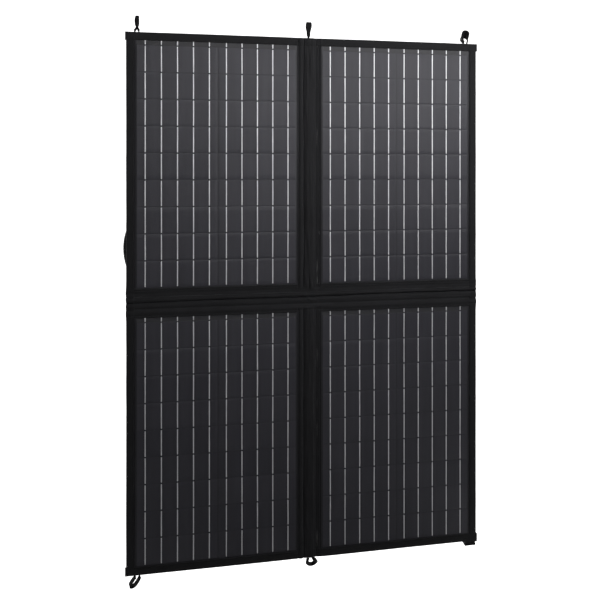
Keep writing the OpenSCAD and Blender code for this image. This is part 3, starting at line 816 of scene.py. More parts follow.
def laminate(sx, sz):
    z0 = 30.1 if sz > 0 else 37.6
    cut_x, cut_z = [], []
    for c in (0, 1):
        a = 28.6 + c * (CELL_W + COL_GAP)
        cut_x += [a - 0.15, a + 0.15, a + CELL_W - 0.15, a + CELL_W + 0.15]
    for r in range(9):
        a = z0 + r * PITCH + 0.65
        cut_z += [a - 0.15, a + 0.15, a + 51.4 - 0.15, a + 51.4 + 0.15]
    xs = sorted(set([21.0, 355.0] + cut_x + list(np.linspace(30, 344, 24))))
    zs = sorted(set([24.6, 518.0] + cut_z + list(np.linspace(26, 517, 40))))
    X, Z = np.meshgrid(np.array(xs) * sx, np.array(zs) * sz)
    ax, az = np.abs(X), np.abs(Z)
    inx = np.zeros_like(ax, bool)
    for c in (0, 1):
        a = 28.6 + c * (CELL_W + COL_GAP)
        inx |= (ax >= a + 0.1) & (ax <= a + CELL_W - 0.1)
    inz = np.zeros_like(az, bool)
    for r in range(9):
        a = z0 + r * PITCH + 0.65
        inz |= (az >= a + 0.1) & (az <= a + 51.4 - 0.1)
    Y = lam_y(X, Z, sx, sz) - 0.10 * (inx & inz)
    v = np.stack([X, Y, Z], -1).reshape(-1, 3)
    o = make(f"laminate_{NAMES[sz]}_{'left' if sx < 0 else 'right'}", v.tolist(), grid_faces(*X.shape), LAM[sz > 0])
    outward(o, (0, -1, 0))
    solid(o, 0.25)
    return o


def ribbons(sx, sz):
    z0 = 30.1 if sz > 0 else 37.6
    w = 2.1
    parts = []
    segs = [(z0 + r * PITCH + 1.55, z0 + (r + 1) * PITCH - 1.55) for r in range(9)]
    segs.append((z0 + 9 * PITCH + 1.2, 516.5) if sz > 0 else (25.5, z0 - 1.2))
    for bi, bx in enumerate(bus_x()):
        for si, (a, b) in enumerate(segs):
            zs = np.array([a, a + 0.35, a + 1.2] + list(np.linspace(a + 3, b - 3, 6 if b - a > 20 else 2)) + [b - 1.2, b - 0.35, b])
            if sz < 0 and si == 9 or b - a < 8:
                zs = np.array([a, a + 0.35, (a + b) / 2, b - 0.35, b])
            wob = 0.10 * math.sin(bi * 12.9 + si * 4.7)
            rows = []
            for i, z in enumerate(zs):
                e = 0.62 if i in (0, len(zs) - 1) else (0.9 if i in (1, len(zs) - 2) else 1.0)
                hw = w / 2 * e
                base = float(lam_y(bx * sx, z * sz, sx, sz)) - 0.10
                for k, q in ((-1.0, 0.02), (-0.8, -0.13), (0.0, -0.19), (0.8, -0.13), (1.0, 0.02)):
                    rows.append((sx * (bx + wob * math.sin(z / 19.0)) + k * hw, base + (q if 0 < i < len(zs) - 1 else min(q, -0.02) * 0.3), z * sz))
            parts.append((rows, grid_faces(len(zs), 5)))
    v, f, _ = join_lists(parts)
    o = make(f"ribbons_{NAMES[sz]}_{'left' if sx < 0 else 'right'}", v, f, TIN)
    outward(o, (0, -1, 0))
    return o


for sz in (1, -1):
    for sx, side in ((-1, "left"), (1, "right")):
        p = f"{NAMES[sz]}_{side}"
        o = laminate(sx, sz)
        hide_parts(p + "_face_film")
        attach(o, "panel_" + p)
        o = ribbons(sx, sz)
        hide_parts(p + "_ribbons")
        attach(o, "panel_" + p)

# ------------------------------------------------------------- strap sweeps


def smooth_path(ctrl, n):
    """Catmull-Rom through rows of numbers."""
    c = np.asarray(ctrl, float)
    c = np.vstack([2 * c[0] - c[1], c, 2 * c[-1] - c[-2]])
    out = []
    segs = len(c) - 3
    for i in range(segs):
        p0, p1, p2, p3 = c[i:i + 4]
        m = n if i < segs - 1 else n + 1
        for k in range(m):
            t = k / n
            out.append(0.5 * (2 * p1 + (p2 - p0) * t + (2 * p0 - 5 * p1 + 4 * p2 - p3) * t * t + (3 * p1 - p0 - 3 * p2 + p3) * t ** 3))
    return np.array(out)


def sweep(path, wdir, width, thick, ends=True, seed=0, wob=0.0):
    """Flat strap along a path, with rounded selvedges. Returns vertices, faces and UVs in metres."""
    path = np.asarray(path, float)
    wdir = np.asarray(wdir, float)
    n = len(path)
    width = np.broadcast_to(np.asarray(width, float), (n,))
    thick = np.broadcast_to(np.asarray(thick, float), (n,))
    tan = np.gradient(path, axis=0)
    tan /= np.linalg.norm(tan, axis=1)[:, None]
    w = wdir - (wdir * tan).sum(1)[:, None] * tan
    w /= np.linalg.norm(w, axis=1)[:, None]
    nrm = np.cross(tan, w)
    s = np.concatenate([[0], np.cumsum(np.linalg.norm(np.diff(path, axis=0), axis=1))])
    cols = [(-1, 0, 0), (-1, 0.55, 0.15), (-1, 1, 0.5), (-0.66, 1.0, 0), (-0.33, 0.93, 0), (0, 0.90, 0), (0.33, 0.93, 0), (0.66, 1.0, 0), (1, 1, -0.5), (1, 0.55, -0.15),
            (1, 0, 0), (1, -0.55, -0.15), (1, -1, -0.5), (0.66, -1.0, 0), (0.33, -0.93, 0), (0, -0.90, 0), (-0.33, -0.93, 0), (-0.66, -1.0, 0), (-1, -1, 0.5), (-1, -0.55, 0.15)]
    verts, uvs = [], []
    for i in range(n):
        a, b = width[i] / 2, thick[i] / 2
        sag = wob * float(noise(s[i], seed * 7.7, 9, 3, 91 + seed))
        for ca, cb, inset in cols:
            p = path[i] + w[i] * (ca * a + inset * b) + nrm[i] * (cb * b + sag * (1 - ca * ca))
            verts.append(p)
            uvs.append((s[i] * S, (ca * a) * S + (0.05 if cb < 0 else 0)))
    k = len(cols)
    faces = [tuple(f) for f in grid_faces(n, k, wrap_c=True)]
    if ends:
        faces.append(tuple(range(k))[::-1])
        faces.append(tuple((n - 1) * k + i for i in range(k)))
    return [tuple(v) for v in verts], faces, uvs


def tube(path, r, k=12, ends=True):
    """Round cord or wire along a path."""
    path = np.asarray(path, float)
    n = len(path)
    r = np.broadcast_to(np.asarray(r, float), (n,))
    tan = np.gradient(path, axis=0)
    tan /= np.linalg.norm(tan, axis=1)[:, None]
    ref = np.array([0.3, 0.2, 1.0]) if abs(tan[0][2]) < 0.8 else np.array([1.0, 0.2, 0.1])
    verts, uvs = [], []
    s = np.concatenate([[0], np.cumsum(np.linalg.norm(np.diff(path, axis=0), axis=1))])
    for i in range(n):
        u = ref - (ref @ tan[i]) * tan[i]
        u /= np.linalg.norm(u)
        ref = u
        v = np.cross(tan[i], u)
        for j in range(k):
            a = 2 * math.pi * j / k
            verts.append(tuple(path[i] + r[i] * (math.cos(a) * u + math.sin(a) * v)))
            uvs.append((s[i] * S, r[i] * a * S))
    faces = grid_faces(n, k, wrap_c=True)
    if ends:
        faces.append(tuple(range(k))[::-1])
        faces.append(tuple((n - 1) * k + i for i in range(k)))
    return verts, faces, uvs


def piece(name, parts, mat, smooth=True, fix=True):
    v, f, u = join_lists(parts)
    o = make(name, v, f, mat, smooth=smooth, uvs=u)
    if fix:
        fix_normals(o)
    return o


# -------------------------------------------------------------------- loops
# control rows: x, u (along the lean), w (across it, towards the solar side), width direction x/u/w, width
LOOPS = {
    "top_right": (342, 50, 0.0, 0.27, [
        (-4.6, -3.5, 0, 0, 0, 1, 7), (-6.4, 5, 0, 0.1, 0, 1, 10), (-7.6, 14, 0, 0.1, 0, 1, 14), (-7.4, 23, 0, 0.0, 0, 1, 18), (-4.6, 29.6, 0, 0, 0, 1, 20),
        (0, 31.6, 0, 0, 0, 1, 20), (4.8, 29.4, 0, 0, 0, 1, 20), (7.4, 22.6, 0, 0.0, 0, 1, 18), (6.8, 14, 0, -0.1, 0, 1, 14), (4.6, 5, 0, -0.1, 0, 1, 10), (2.8, -3.5, 0, 0, 0, 1, 7)]),
    "top_middle": (-1.5, 50, 0.45, 0.14, [
        (1.4, -3.5, 0.4, 0.3, 0, 1, 7), (0.6, 3, 1.1, 1.0, 0, 0.4, 6.4), (-0.3, 11, 2.2, 1, 0, 0.05, 9.2), (-0.2, 19, 2.8, 1, 0, 0, 12.2), (0, 25.4, 2.5, 1, 0, 0, 12.4),
        (0.1, 29.6, 1.6, 1, 0, 0, 10.8), (0.1, 30.7, 0, 1, 0, 0, 10.2), (0.1, 29.6, -1.6, 1, 0, 0, 10.8), (0.2, 25.4, -2.5, 1, 0, 0, 12.2), (0.4, 19, -2.8, 1, 0, 0.1, 11.6), (0.3, 11, -2.0, 1, 0, -0.1, 8.6),
        (-0.6, 3, -1.1, 1.0, 0, -0.4, 6.4), (-1.4, -3.5, -0.4, 0.3, 0, -1, 7)]),
    "top_left": (-345, 50, 0.45, 0.04, [
        (4.6, -3.5, 0.3, 0.3, 0, 1, 6.5), (2.6, 1.0, 0.8, 0.6, 0, 1, 5.6), (0.3, 5.6, 1.3, 1, 0, 0.8, 4.8), (-1.2, 11, 1.8, 1, 0, 0.3, 6.0), (-0.8, 18.5, 2.3, 1, 0, 0.05, 8.3), (-0.1, 25, 2.1, 1, 0, 0, 8.4),
        (0, 28.9, 1.3, 1, 0, 0, 7.2), (0, 29.9, 0, 1, 0, 0, 6.8), (0, 28.9, -1.3, 1, 0, 0, 7.2), (0.1, 25, -2.1, 1, 0, 0, 8.0), (0.8, 18.5, -2.3, 1, 0, -0.05, 7.8), (1.2, 11, -1.8, 1, 0, -0.3, 5.8),
        (-0.3, 5.6, -1.3, 1, 0, -0.8, 4.8), (-2.6, 1.0, -0.8, 0.6, 0, -1, 5.6), (-4.6, -3.5, -0.3, 0.3, 0, -1, 6.5)]),
    "bottom_left": (-344, 70, 0.85, -0.52, [
        (-4.0, -3.5, 0, 0.2, 0, 1, 7), (-5.2, 3, 0, 0.35, 0, 1, 8), (-5.6, 10, 0, 0.4, 0, 1, 8.6), (-5.0, 16, 0, 0.35, 0, 1, 8.6), (-2.4, 20.4, 0, 0.15, 0, 1, 8.6), (1.8, 20.8, 0, 0.15, 0, 1, 8.6),
        (4.8, 17, 0, 0.35, 0, 1, 8.6), (5.6, 10, 0, 0.4, 0, 1, 8.6), (5.2, 3, 0, 0.35, 0, 1, 8), (4.4, -3.5, 0, 0.2, 0, 1, 7)]),
    "bottom_middle": (3, 70, 0.7, 0.14, [
        (-5.4, -3.5, 0.2, -0.2, 0, 1, 7), (-7.6, 3, 0.4, -0.35, 0, 1, 8), (-6.6, 9.0, 0.4, -0.4, 0, 1, 8.4), (-2.4, 14.2, 0, -0.2, 0, 1, 8.4), (3.6, 15.4, -0.4, 0, 0, 1, 8.4),
        (9.8, 11.6, -0.6, 0.3, 0, 1, 8.4), (12.2, 5.6, -0.4, 0.4, 0, 1, 8.4), (8.2, 1.0, -0.2, 0.3, 0, 1, 8), (4.4, -3.5, 0, 0.2, 0, 1, 7)]),
    "bottom_right": (352.5, 88, 0.0, 0.0, [
        (0, -3.0, -2.4, 1, 0, 0, 20), (0.2, -2.6, 1.4, 1, 0, 0, 21.5), (0.4, -1.2, 4.4, 1, 0, 0, 23.5), (0.4, 1.8, 5.6, 1, 0, 0, 24), (0.3, 6, 4.8, 1, 0, 0, 23),
        (0, 12, 3.8, 1, 0, 0, 22), (0, 16.6, 3.1, 1, 0, 0, 22), (0, 19, 1.9, 1, 0, 0, 22), (0, 17, 0.6, 1, 0, 0, 22), (0, 11, 0.6, 1, 0, 0, 22), (0, 5, 1.4, 1, 0, 0, 21), (0, 1.4, 0.4, 1, 0, 0, 20), (0, -1.2, -2.4, 1, 0, 0, 20)]),
}
THICK = {"top_right": 2.6, "top_middle": 1.9, "top_left": 1.9, "bottom_left": 3.8, "bottom_middle": 4.0, "bottom_right": 2.2}
for ln, (lx, lean, tilt, side, ctrl) in LOOPS.items():
    up = 1 if ln.startswith("top") else -1
    a = math.radians(lean)
    U = np.array([0, math.sin(a), up * math.cos(a)])
    Wd = np.array([0, -math.cos(a), up * math.sin(a)])
    c = smooth_path(ctrl, 5)
    x, u, w = c[:, 0], c[:, 1], c[:, 2]
    free = np.clip(u, 0, None)
    W2 = (Wd - tilt * U) / math.hypot(1, tilt)
    pos = np.stack([lx + x + side * free, 0 * x - 3.0, 0 * x + up * 533.8], -1) + u[:, None] * U + (tilt * free)[:, None] * Wd + w[:, None] * W2
    wd = c[:, 3:4] * np.array([1.0, 0, 0]) + c[:, 4:5] * U + c[:, 5:6] * W2
    v, f, uv = sweep(pos, wd, c[:, 6], THICK[ln], seed=len(ln), wob=0.25)
    o = piece("webbing_loop_" + ln, [(v, f, uv)], WEB)
    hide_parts("loop_" + ln)
    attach(o, "loop_" + ln)
    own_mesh(o)

# ------------------------------------------------------------------- handle
H0 = np.array([-338.0, 9.5, 105.0])
HD = np.array([-math.sin(math.radians(42)), math.cos(math.radians(42)), 0.0])
HD = np.array([math.cos(math.radians(132)), math.sin(math.radians(132)), 0.0])
HW = np.array([math.sin(math.radians(132)), -math.cos(math.radians(132)), 0.0])
AR = (65.0 ** 2 + 38.0 ** 2) / (2 * 38.0)
AA = math.asin(65.0 / AR)


def arch(ph, lift=0.0):
    ph = np.asarray(ph, float)
    return H0 + ((38.0 - AR + (AR + lift) * np.cos(ph))[:, None]) * HD + ((AR + lift) * np.sin(ph))[:, None] * np.array([0, 0, 1.0])


ph = np.linspace(-AA, AA, 49)
parts = [sweep(arch(ph), np.tile(HW, (49, 1)), 14.0 - 3.0 * step(np.abs(ph), AA * 0.86, AA), 2.6, seed=3, wob=0.15)]
for sg in (-1, 1):
    # end of the strap turned round its bar and sewn back on itself
    zc = 105 + sg * 65
    ring = []
    for a in np.linspace(0, 2 * math.pi * 0.97, 25):
        ring.append(np.array([-338 + 3.7 * math.cos(a), 9.5 + 3.7 * math.sin(a), zc - sg * 0.6]))
    parts.append(sweep(np.array(ring), np.tile([0, 0, 1.0], (25, 1)), 9.0, 1.5, seed=5))
    back = arch(np.linspace(sg * (AA - 0.03), sg * (AA - 0.27), 9), 2.0)
    parts.append(sweep(back, np.tile(HW, (9, 1)), 10.6, 1.6, seed=6))
o = piece("handle_webbing", parts, WEB)
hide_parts("handle_strap")
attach(o, "carry_handle")
bars = []
for sg in (-1, 1):
    zc = 105 + sg * 65
    z0, z1 = (zc - 7, zc + 14) if sg > 0 else (zc - 14, zc + 7)
    zs = [z0 - 0.1, z0 + 0.2, z0 + 0.8] + list(np.linspace(z0 + 2, z1 - 2, 5)) + [z1 - 0.8, z1 - 0.2, z1 + 0.1]
    rs = [1.3, 1.9, 2.3] + [2.4] * 5 + [2.3, 1.9, 1.3]
    bars.append(tube([(-338, 9.5, z) for z in zs], rs, 20))
o = piece("handle_bars", bars, BLACK_METAL)
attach(o, "carry_handle")

# padded sleeve with ribs across; its stitching along the outer side is not drawn
gp, ga = [], math.radians(36)
phs = np.linspace(-ga, ga, 61)
gv, guv = [], []
K = 28
for i, p in enumerate(phs):
    e = min(1.0, (ga - abs(p)) / 0.035)
    e = math.sqrt(max(0.0, 1 - (1 - e) ** 2)) * 0.14 + 0.86
    rib = 0.16 * math.cos(p * 150) * (1 if abs(p) < ga * 0.86 else 0)
    c0 = arch([p])[0]
    rad = (arch([p], 1.0)[0] - c0)
    for j in range(K):
        a = 2 * math.pi * j / K
        ca, sa = math.cos(a), math.sin(a)
        ex = abs(ca) ** 0.62 * math.copysign(1, ca)
        ey = abs(sa) ** 0.62 * math.copysign(1, sa)
        gv.append(tuple(c0 + HW * ex * (8.0 + 0.3 * rib) * e + rad * ey * (4.4 + rib) * e))
        guv.append((AR * p * S, a * 0.005))
gf = grid_faces(61, K, wrap_c=True)
gf.append(tuple(range(K))[::-1])
gf.append(tuple(60 * K + j for j in range(K)))
o = piece("handle_sleeve", [(gv, gf, guv)], GRIP)
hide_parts("handle_grip")
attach(o, "carry_handle")


def patch(x0, x1, z0, z1, y0, t, nx=13, nz=17, seed=0, soft=0.9):
    """Rectangle of webbing or cloth laid on the rear cover, with softly rounded edges."""
    verts, uvs = [], []
    us = [0, 0.02, 0.06] + list(np.linspace(0.12, 0.88, nx - 6)) + [0.94, 0.98, 1]
    vs = [0, 0.015, 0.05] + list(np.linspace(0.1, 0.9, nz - 6)) + [0.95, 0.985, 1]
    for b in vs:
        for a in us:
            x, z = x0 + (x1 - x0) * a, z0 + (z1 - z0) * b
            d = min(x - x0, x1 - x, z - z0, z1 - z)
            e = min(1.0, d / soft)
            h = t * math.sqrt(max(0.0, 1 - (1 - e) ** 2)) + 0.10 * float(noise(x, z, 9, 7, 95 + seed)) * e
            verts.append((x, y0 + h, z))
            uvs.append((z * S, x * S))
    nn = (len(vs), len(us))
    base = len(verts)
    for b in vs:
        for a in us:
            verts.append((x0 + (x1 - x0) * a, y0 - 0.2, z0 + (z1 - z0) * b))
            uvs.append(((z0 + (z1 - z0) * b) * S, (x0 + (x1 - x0) * a) * S))
    f = grid_faces(*nn)
    f += [tuple(base + i for i in q[::-1]) for q in grid_faces(*nn)]
    r, c = nn
    rim = [(i, i + 1) for i in range(c - 1)] + [(c - 1 + c * j, c - 1 + c * (j + 1)) for j in range(r - 1)]
    rim += [(c * r - 1 - i, c * r - 2 - i) for i in range(c - 1)] + [(c * (r - 1 - j), c * (r - 2 - j)) for j in range(r - 1)]
    f += [(a, b, b + base, a + base) for a, b in rim]
    return verts, f, uvs


def capsule(p, q, r, nrm, flat=0.6):
    """One stitch: a short thread that dips into the cloth at both ends."""
    p, q, nrm = np.array(p, float), np.array(q, float), np.array(nrm, float)
    d = q - p
    L = np.linalg.norm(d)
    d = d / L
    side = np.cross(d, nrm)
    verts = []
    for t, k, up in ((0.0, 0.35, -0.6), (0.22, 0.9, 0.5), (0.78, 0.9, 0.5), (1.0, 0.35, -0.6)):
        c = p + d * L * t + nrm * up * r
        for cx, cy in ((-1, 0), (0, flat), (1, 0), (0, -flat)):
            verts.append(tuple(c + side * cx * r * k + nrm * cy * r * k))
    faces = [(i * 4 + j, i * 4 + (j + 1) % 4, (i + 1) * 4 + (j + 1) % 4, (i + 1) * 4 + j) for i in range(3) for j in range(4)]
    faces += [(3, 2, 1, 0), (12, 13, 14, 15)]
    return verts, faces, [(0.0, 0.0)] * 16


def seam(points, nrm, pitch=3.6, gap=0.7, r=0.27):
    """Row of stitches along a polyline given densely."""
    pts = np.asarray(points, float)
    s = np.concatenate([[0], np.cumsum(np.linalg.norm(np.diff(pts, axis=0), axis=1))])
    out = []
    n = max(1, int(s[-1] / pitch))
    real = s[-1] / n
    for i in range(n):
        a, b = i * real + gap / 2, (i + 1) * real - gap / 2
        pa = [np.interp(a, s, pts[:, k]) for k in range(3)]
        pb = [np.interp(b, s, pts[:, k]) for k in range(3)]
        out.append(capsule(pa, pb, r, nrm))
    return out


anchor, a_st = [], []
for sg in (-1, 1):
    zc = 105 + sg * 74
    z0, z1 = (zc - 7, zc + 27) if sg > 0 else (zc - 27, zc + 7)
    anchor.append(patch(-349, -325, z0, z1, 0.1, 1.5, seed=sg + 2))
    # tunnel of webbing standing up from the pad and turned round the bar
    c = [(-344.2, 1.2, 0), (-343.8, 4.5, 0), (-342.9, 8.5, 0), (-341.6, 11.9, 0), (-338, 13.6, 0), (-334.4, 11.9, 0), (-333.1, 8.5, 0), (-332.2, 4.5, 0), (-331.8, 1.2, 0)]
    p = smooth_path(c, 5)
    p[:, 2] = zc
    anchor.append(sweep(p, np.tile([0, 0, 1.0], (len(p), 1)), 8.8, 1.5, seed=8))
    for xa, za, xb, zb in ((-347, z0 + 2, -327, z0 + 2), (-327, z0 + 2, -327, z1 - 2), (-327, z1 - 2, -347, z1 - 2), (-347, z1 - 2, -347, z0 + 2)):
        a_st += seam([(xa, 1.75, za), (xb, 1.75, zb)], (0, 1, 0), 2.6, 0.5, 0.3)
    zx0, zx1 = (zc + 8, zc + 24) if sg > 0 else (zc - 24, zc - 8)
    for xa, za, xb, zb in ((-346, zx0, -328, zx1), (-346, zx1, -328, zx0), (-346, zx0, -328, zx0)):
        a_st += seam([(xa, 1.8, za), (xb, 1.8, zb)], (0, 1, 0), 2.6, 0.5, 0.3)
o = piece("handle_pads", anchor, WEB)
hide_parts("handle_anchors")
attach(o, "panel_top_left")
o = piece("handle_pad_stitches", a_st, THREAD, fix=False)
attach(o, "panel_top_left")

# ------------------------------------------------------------------- pocket
PX0, PX1, PZ0, PZ1, PD = -300.0, -64.0, 262.0, 458.0, 22.0
ZIPZ = 424.0


def pocket_grid():
    us = [0, 0.4, 1.0, 2.0, 3.2, 4.6] + list(np.arange(6.5, PX1 - PX0 - 6, 3.4))
    us = sorted(set(us + [PX1 - PX0 - u for u in us]))
    us = [u for i, u in enumerate(us) if i == 0 or u - us[i - 1] > 0.3]
    vs = [0, 0.4, 1.0, 2.0, 3.2, 4.6] + list(np.arange(6.5, PZ1 - PZ0 - 6, 3.4))
    vs = sorted(set(vs + [PZ1 - PZ0 - v for v in vs]))
    vs = [v for i, v in enumerate(vs) if i == 0 or v - vs[i - 1] > 0.3]
    return np.array(us), np.array(vs)


def pocket_height(X, Z):
    dx = np.minimum(X - PX0, PX1 - X)
    dz = np.minimum(Z - PZ0, PZ1 - Z)
    d = np.minimum(dx, dz)
    e = np.clip(d / 5.5, 0, 1)
    wall = (1 - (1 - e) ** 2.4)
    zipband = np.exp(-((Z - ZIPZ) / 17.0) ** 4)
    # box inside pushes the cloth out; the rest sags a little between it and the seams
    bx, bz = np.abs(X + 195) / 45.0, np.abs(Z - 338) / 30.0
    boxed = 1 / (1 + np.exp(9 * (np.maximum(bx, bz) - 1.15)))
    sag = 3.4 * np.sin(np.clip((X - PX0) / (PX1 - PX0), 0, 1) * math.pi) * np.sin(np.clip((Z - PZ0) / (PZ1 - PZ0), 0, 1) * math.pi)
    h = PD - 0.4 - (sag * (1 - boxed) + 1.2 * boxed) * (1 - zipband)
    wr = 0.9 * noise(X + 0.55 * Z, Z, 26, 60, 101) + 0.5 * noise(X - 0.7 * Z, Z, 12, 44, 102) + 0.22 * noise(X, Z, 6, 9, 103)
    corner = np.exp(-(np.minimum(dx, 40) ** 2 + np.minimum(dz, 40) ** 2) / 900.0)
    pull = 0.8 * noise(np.arctan2(Z - 360, X + 182) * 40, 0 * Z, 3.2, 1, 104) * corner
    return wall * (h + (wr * 0.75 + pull) * (1 - zipband) * np.clip(e, 0, 1))


us, vs = pocket_grid()
PXg, PZg = np.meshgrid(PX0 + us, PZ0 + vs)
PH = pocket_height(PXg, PZg)
inset = 0.9 * (1 - np.clip(PH / 8.0, 0, 1))
PV = np.stack([PXg, np.maximum(PH, 0.15) + 0.1, PZg], -1)
pf = grid_faces(len(vs), len(us))
pocket = make("pocket_cloth", PV.reshape(-1, 3).tolist(), pf, CLOTH_REAR)
outward(pocket, (0, 1, 0))
solid(pocket, 0.8)
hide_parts("pocket_shell")
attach(pocket, "panel_top_left")
# piping cord sewn round the foot of the pocket, and its flange with a row of stitches
cr = 7.0
loop_pts = []
for cx, cz, a0 in ((PX1 - cr, PZ1 - cr, 0), (PX0 + cr, PZ1 - cr, 90), (PX0 + cr, PZ0 + cr, 180), (PX1 - cr, PZ0 + cr, 270)):
    for a in np.linspace(a0, a0 + 90, 7):
        q = math.radians(a)
        loop_pts.append((cx + (cr + 0.4) * math.cos(q), 1.1, cz + (cr + 0.4) * math.sin(q)))
loop_pts.append(loop_pts[0])
dense = []
for a, b in zip(loop_pts[:-1], loop_pts[1:]):
    a, b = np.array(a), np.array(b)
    m = max(1, int(np.linalg.norm(b - a) / 6))
    dense += [a + (b - a) * i / m for i in range(m)]
dense.append(np.array(loop_pts[-1]))
dense = np.array(dense)
dense[:, 1] += 0.12 * noise(dense[:, 0], dense[:, 2], 14, 14, 105)
pip = [tube(dense, 1.25, 12)]
o = piece("pocket_piping", pip, TAPE)
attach(o, "panel_top_left")
flange = []
for a, b, z0, z1 in ((PX0 - 5, PX1 + 5, PZ1 - 0.5, PZ1 + 5.5), (PX0 - 5, PX1 + 5, PZ0 - 5.5, PZ0 + 0.5), (PX0 - 5.5, PX0 + 0.5, PZ0 - 5, PZ1 + 5), (PX1 - 0.5, PX1 + 5.5, PZ0 - 5, PZ1 + 5)):
    nx, nz = (61, 9) if b - a > 100 else (9, 51)
    flange.append(patch(a, b, z0, z1, 0.05, 0.75, nx, nz, seed=9, soft=0.8))
o = piece("pocket_flange", flange, CLOTH_REAR)
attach(o, "panel_top_left")
p_st = []
for (xa, za), (xb, zb) in (((PX0 - 3.2, PZ0 - 3.2), (PX1 + 3.2, PZ0 - 3.2)), ((PX1 + 3.2, PZ0 - 3.2), (PX1 + 3.2, PZ1 + 3.2)),
                           ((PX1 + 3.2, PZ1 + 3.2), (PX0 - 3.2, PZ1 + 3.2)), ((PX0 - 3.2, PZ1 + 3.2), (PX0 - 3.2, PZ0 - 3.2))):
    p_st += seam([(xa, 0.95, za), (xb, 0.95, zb)], (0, 1, 0), 3.4, 0.7, 0.28)
for dz in (-11, 11):
    p_st += seam([(-284, 22.75, ZIPZ + dz), (-80, 22.75, ZIPZ + dz)], (0, 1, 0), 3.4, 0.7, 0.28)
for x in (-284.5, -79.5):
    p_st += seam([(x, 22.75, ZIPZ - 11), (x, 22.75, ZIPZ + 11)], (0, 1, 0), 2.2, 0.4, 0.3)
o = piece("pocket_stitches", p_st, THREAD, fix=False)
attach(o, "panel_top_left")

# zip: two woven tapes with the closed coil between them
zt = []
for sg in (-1, 1):
    zt.append(patch(-286, -78, *sorted((ZIPZ + sg * 1.2, ZIPZ + sg * 13)), 21.9, 0.65, 61, 11, seed=11 + sg, soft=0.7))
o = piece("zip_tapes", zt, TAPE)
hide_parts("pocket_zip_tape")
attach(o, "panel_top_left")
teeth = []
x = -281.4
k = 0
while x < -82.6:
    sg = 1 if k % 2 else -1
    c = np.array([x, 22.95, ZIPZ + sg * 0.35])
    pts = [c + np.array([0.0, -0.35, sg * 1.9]), c + np.array([-0.1, 0.42, sg * 1.5]), c + np.array([-0.1, 0.62, 0.1 * sg]), c + np.array([0.0, 0.30, -sg * 1.1]), c + np.array([0.1, -0.3, -sg * 1.0])]
    teeth.append(tube(smooth_path(pts, 2), 0.42, 6))
    x += 0.82
    k += 1
o = piece("zip_coil", teeth, BLACK_METAL)
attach(o, "panel_top_left")

# cord tab on the zip pull's end
cx0, cz0 = -276.0, ZIPZ
tab = []
tabv = smooth_path([(cx0, 27.0, cz0 - 20.5), (cx0, 27.9, cz0 - 22.2), (cx0, 27.6, cz0 - 26), (cx0, 27.2, cz0 - 31), (cx0, 27.0, cz0 - 34), (cx0, 26.6, cz0 - 31), (cx0, 26.3, cz0 - 26), (cx0, 26.1, cz0 - 22.2), (cx0, 27.0, cz0 - 20.4)], 4)
tab.append(sweep(tabv, np.tile([1.0, 0, 0], (len(tabv), 1)), 6.4, 0.9, seed=12))
o = piece("zip_pull_tab", tab, WEB)
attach(o, "zip_pull")

# ----------------------------------------------------------------- stitches
for sz in (1, -1):
    st = []
    for sx in (-1, 1):
        # along the two edges of each window next to the fold lines
        x0, x1, z0, z1 = WX0 - 4.0, WX1 + 3.4, WZ0 - 3.6, WZ1 + 3.8
        rows = [[(x, z0) for x in np.arange(x0, x1, 4)], [(x1, z) for z in np.arange(z0, z1, 4)], [(x, z1) for x in np.arange(x1, x0, -4)], [(x0, z) for z in np.arange(z1, z0, -4)]]
        for row in rows[:1] + rows[3:]:
            pts = [(sx * x, float(front_y(sx * x, sz * z)) - 0.12, sz * z) for x, z in row]
            st += seam(pts, (0, -1, 0))
        # along the side binding, front and back
        for yy, nn in ((-1, -1), (1, 1)):
            pts = []
            for z in np.arange(26, WZ1 + 1, 4.0):
                xx = sx * (HALF_W - 13.2)
                y = float(front_y(sx * 358.0, sz * z)) - 0.75 if yy < 0 else float(rear_y(sx * 358.0, sz * z)) + 0.75
                pts.append((xx, y, sz * z))
            st += seam(pts, (0, nn, 0))
    for yy in (-1, 1):
        pts = []
        for x in np.arange(-HALF_W, HALF_W + 1, 3.0):
            xc = max(-362.0, min(362.0, x))
            y = float(front_y(xc, sz * (HALF_H - 8.0))) - 0.92 - (0.12 if abs(x) > 350 else 0) if yy < 0 else float(rear_y(xc, sz * (HALF_H - 8.0))) + 0.88
            pts.append((x, y, sz * (HALF_H - 14.0)))
        st += seam(pts, (0, yy, 0))
        # seams of the upright band
        for sx in (-1, 1):
            if yy > 0:
                pts = [(sx * 14.5, float(rear_y(sx * 14.5, sz * z)) + 0.15, sz * z) for z in np.arange(24, WZ1, 4.0)]
                st += seam(pts, (0, 1, 0))
    o = piece("stitches_" + ("upper" if sz > 0 else "lower"), st, THREAD, fix=False)
    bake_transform(o)

# ------------------------------------------------------------- stage, camera


def stage_material():
    m = Mat("pale_floor", rough=0.9, spec=0.1)
    n = m.noise(3.0, 2.0)
    m.color(m.ramp(n, [(0.3, (0.42, 0.42, 0.42)), (0.7, (0.45, 0.45, 0.45))]))
    lp = m.node("ShaderNodeLightPath")
    em = m.node("ShaderNodeEmission")
    em.inputs["Color"].default_value = (1, 1, 1, 1)
    em.inputs["Strength"].default_value = 1.85
    add = m.node("ShaderNodeMixShader")
    m.link(m.math("MULTIPLY", lp.outputs["Is Camera Ray"], 0.86), add.inputs[0])
    m.link(m.p.outputs[0], add.inputs[1])
    m.link(em.outputs[0], add.inputs[2])
    out = next(n for n in m.nt.nodes if n.type == "OUTPUT_MATERIAL")
    m.link(add.outputs[0], out.inputs["Surface"])
    return m.m


FLOOR_Z = -0.5620
fm = stage_material()
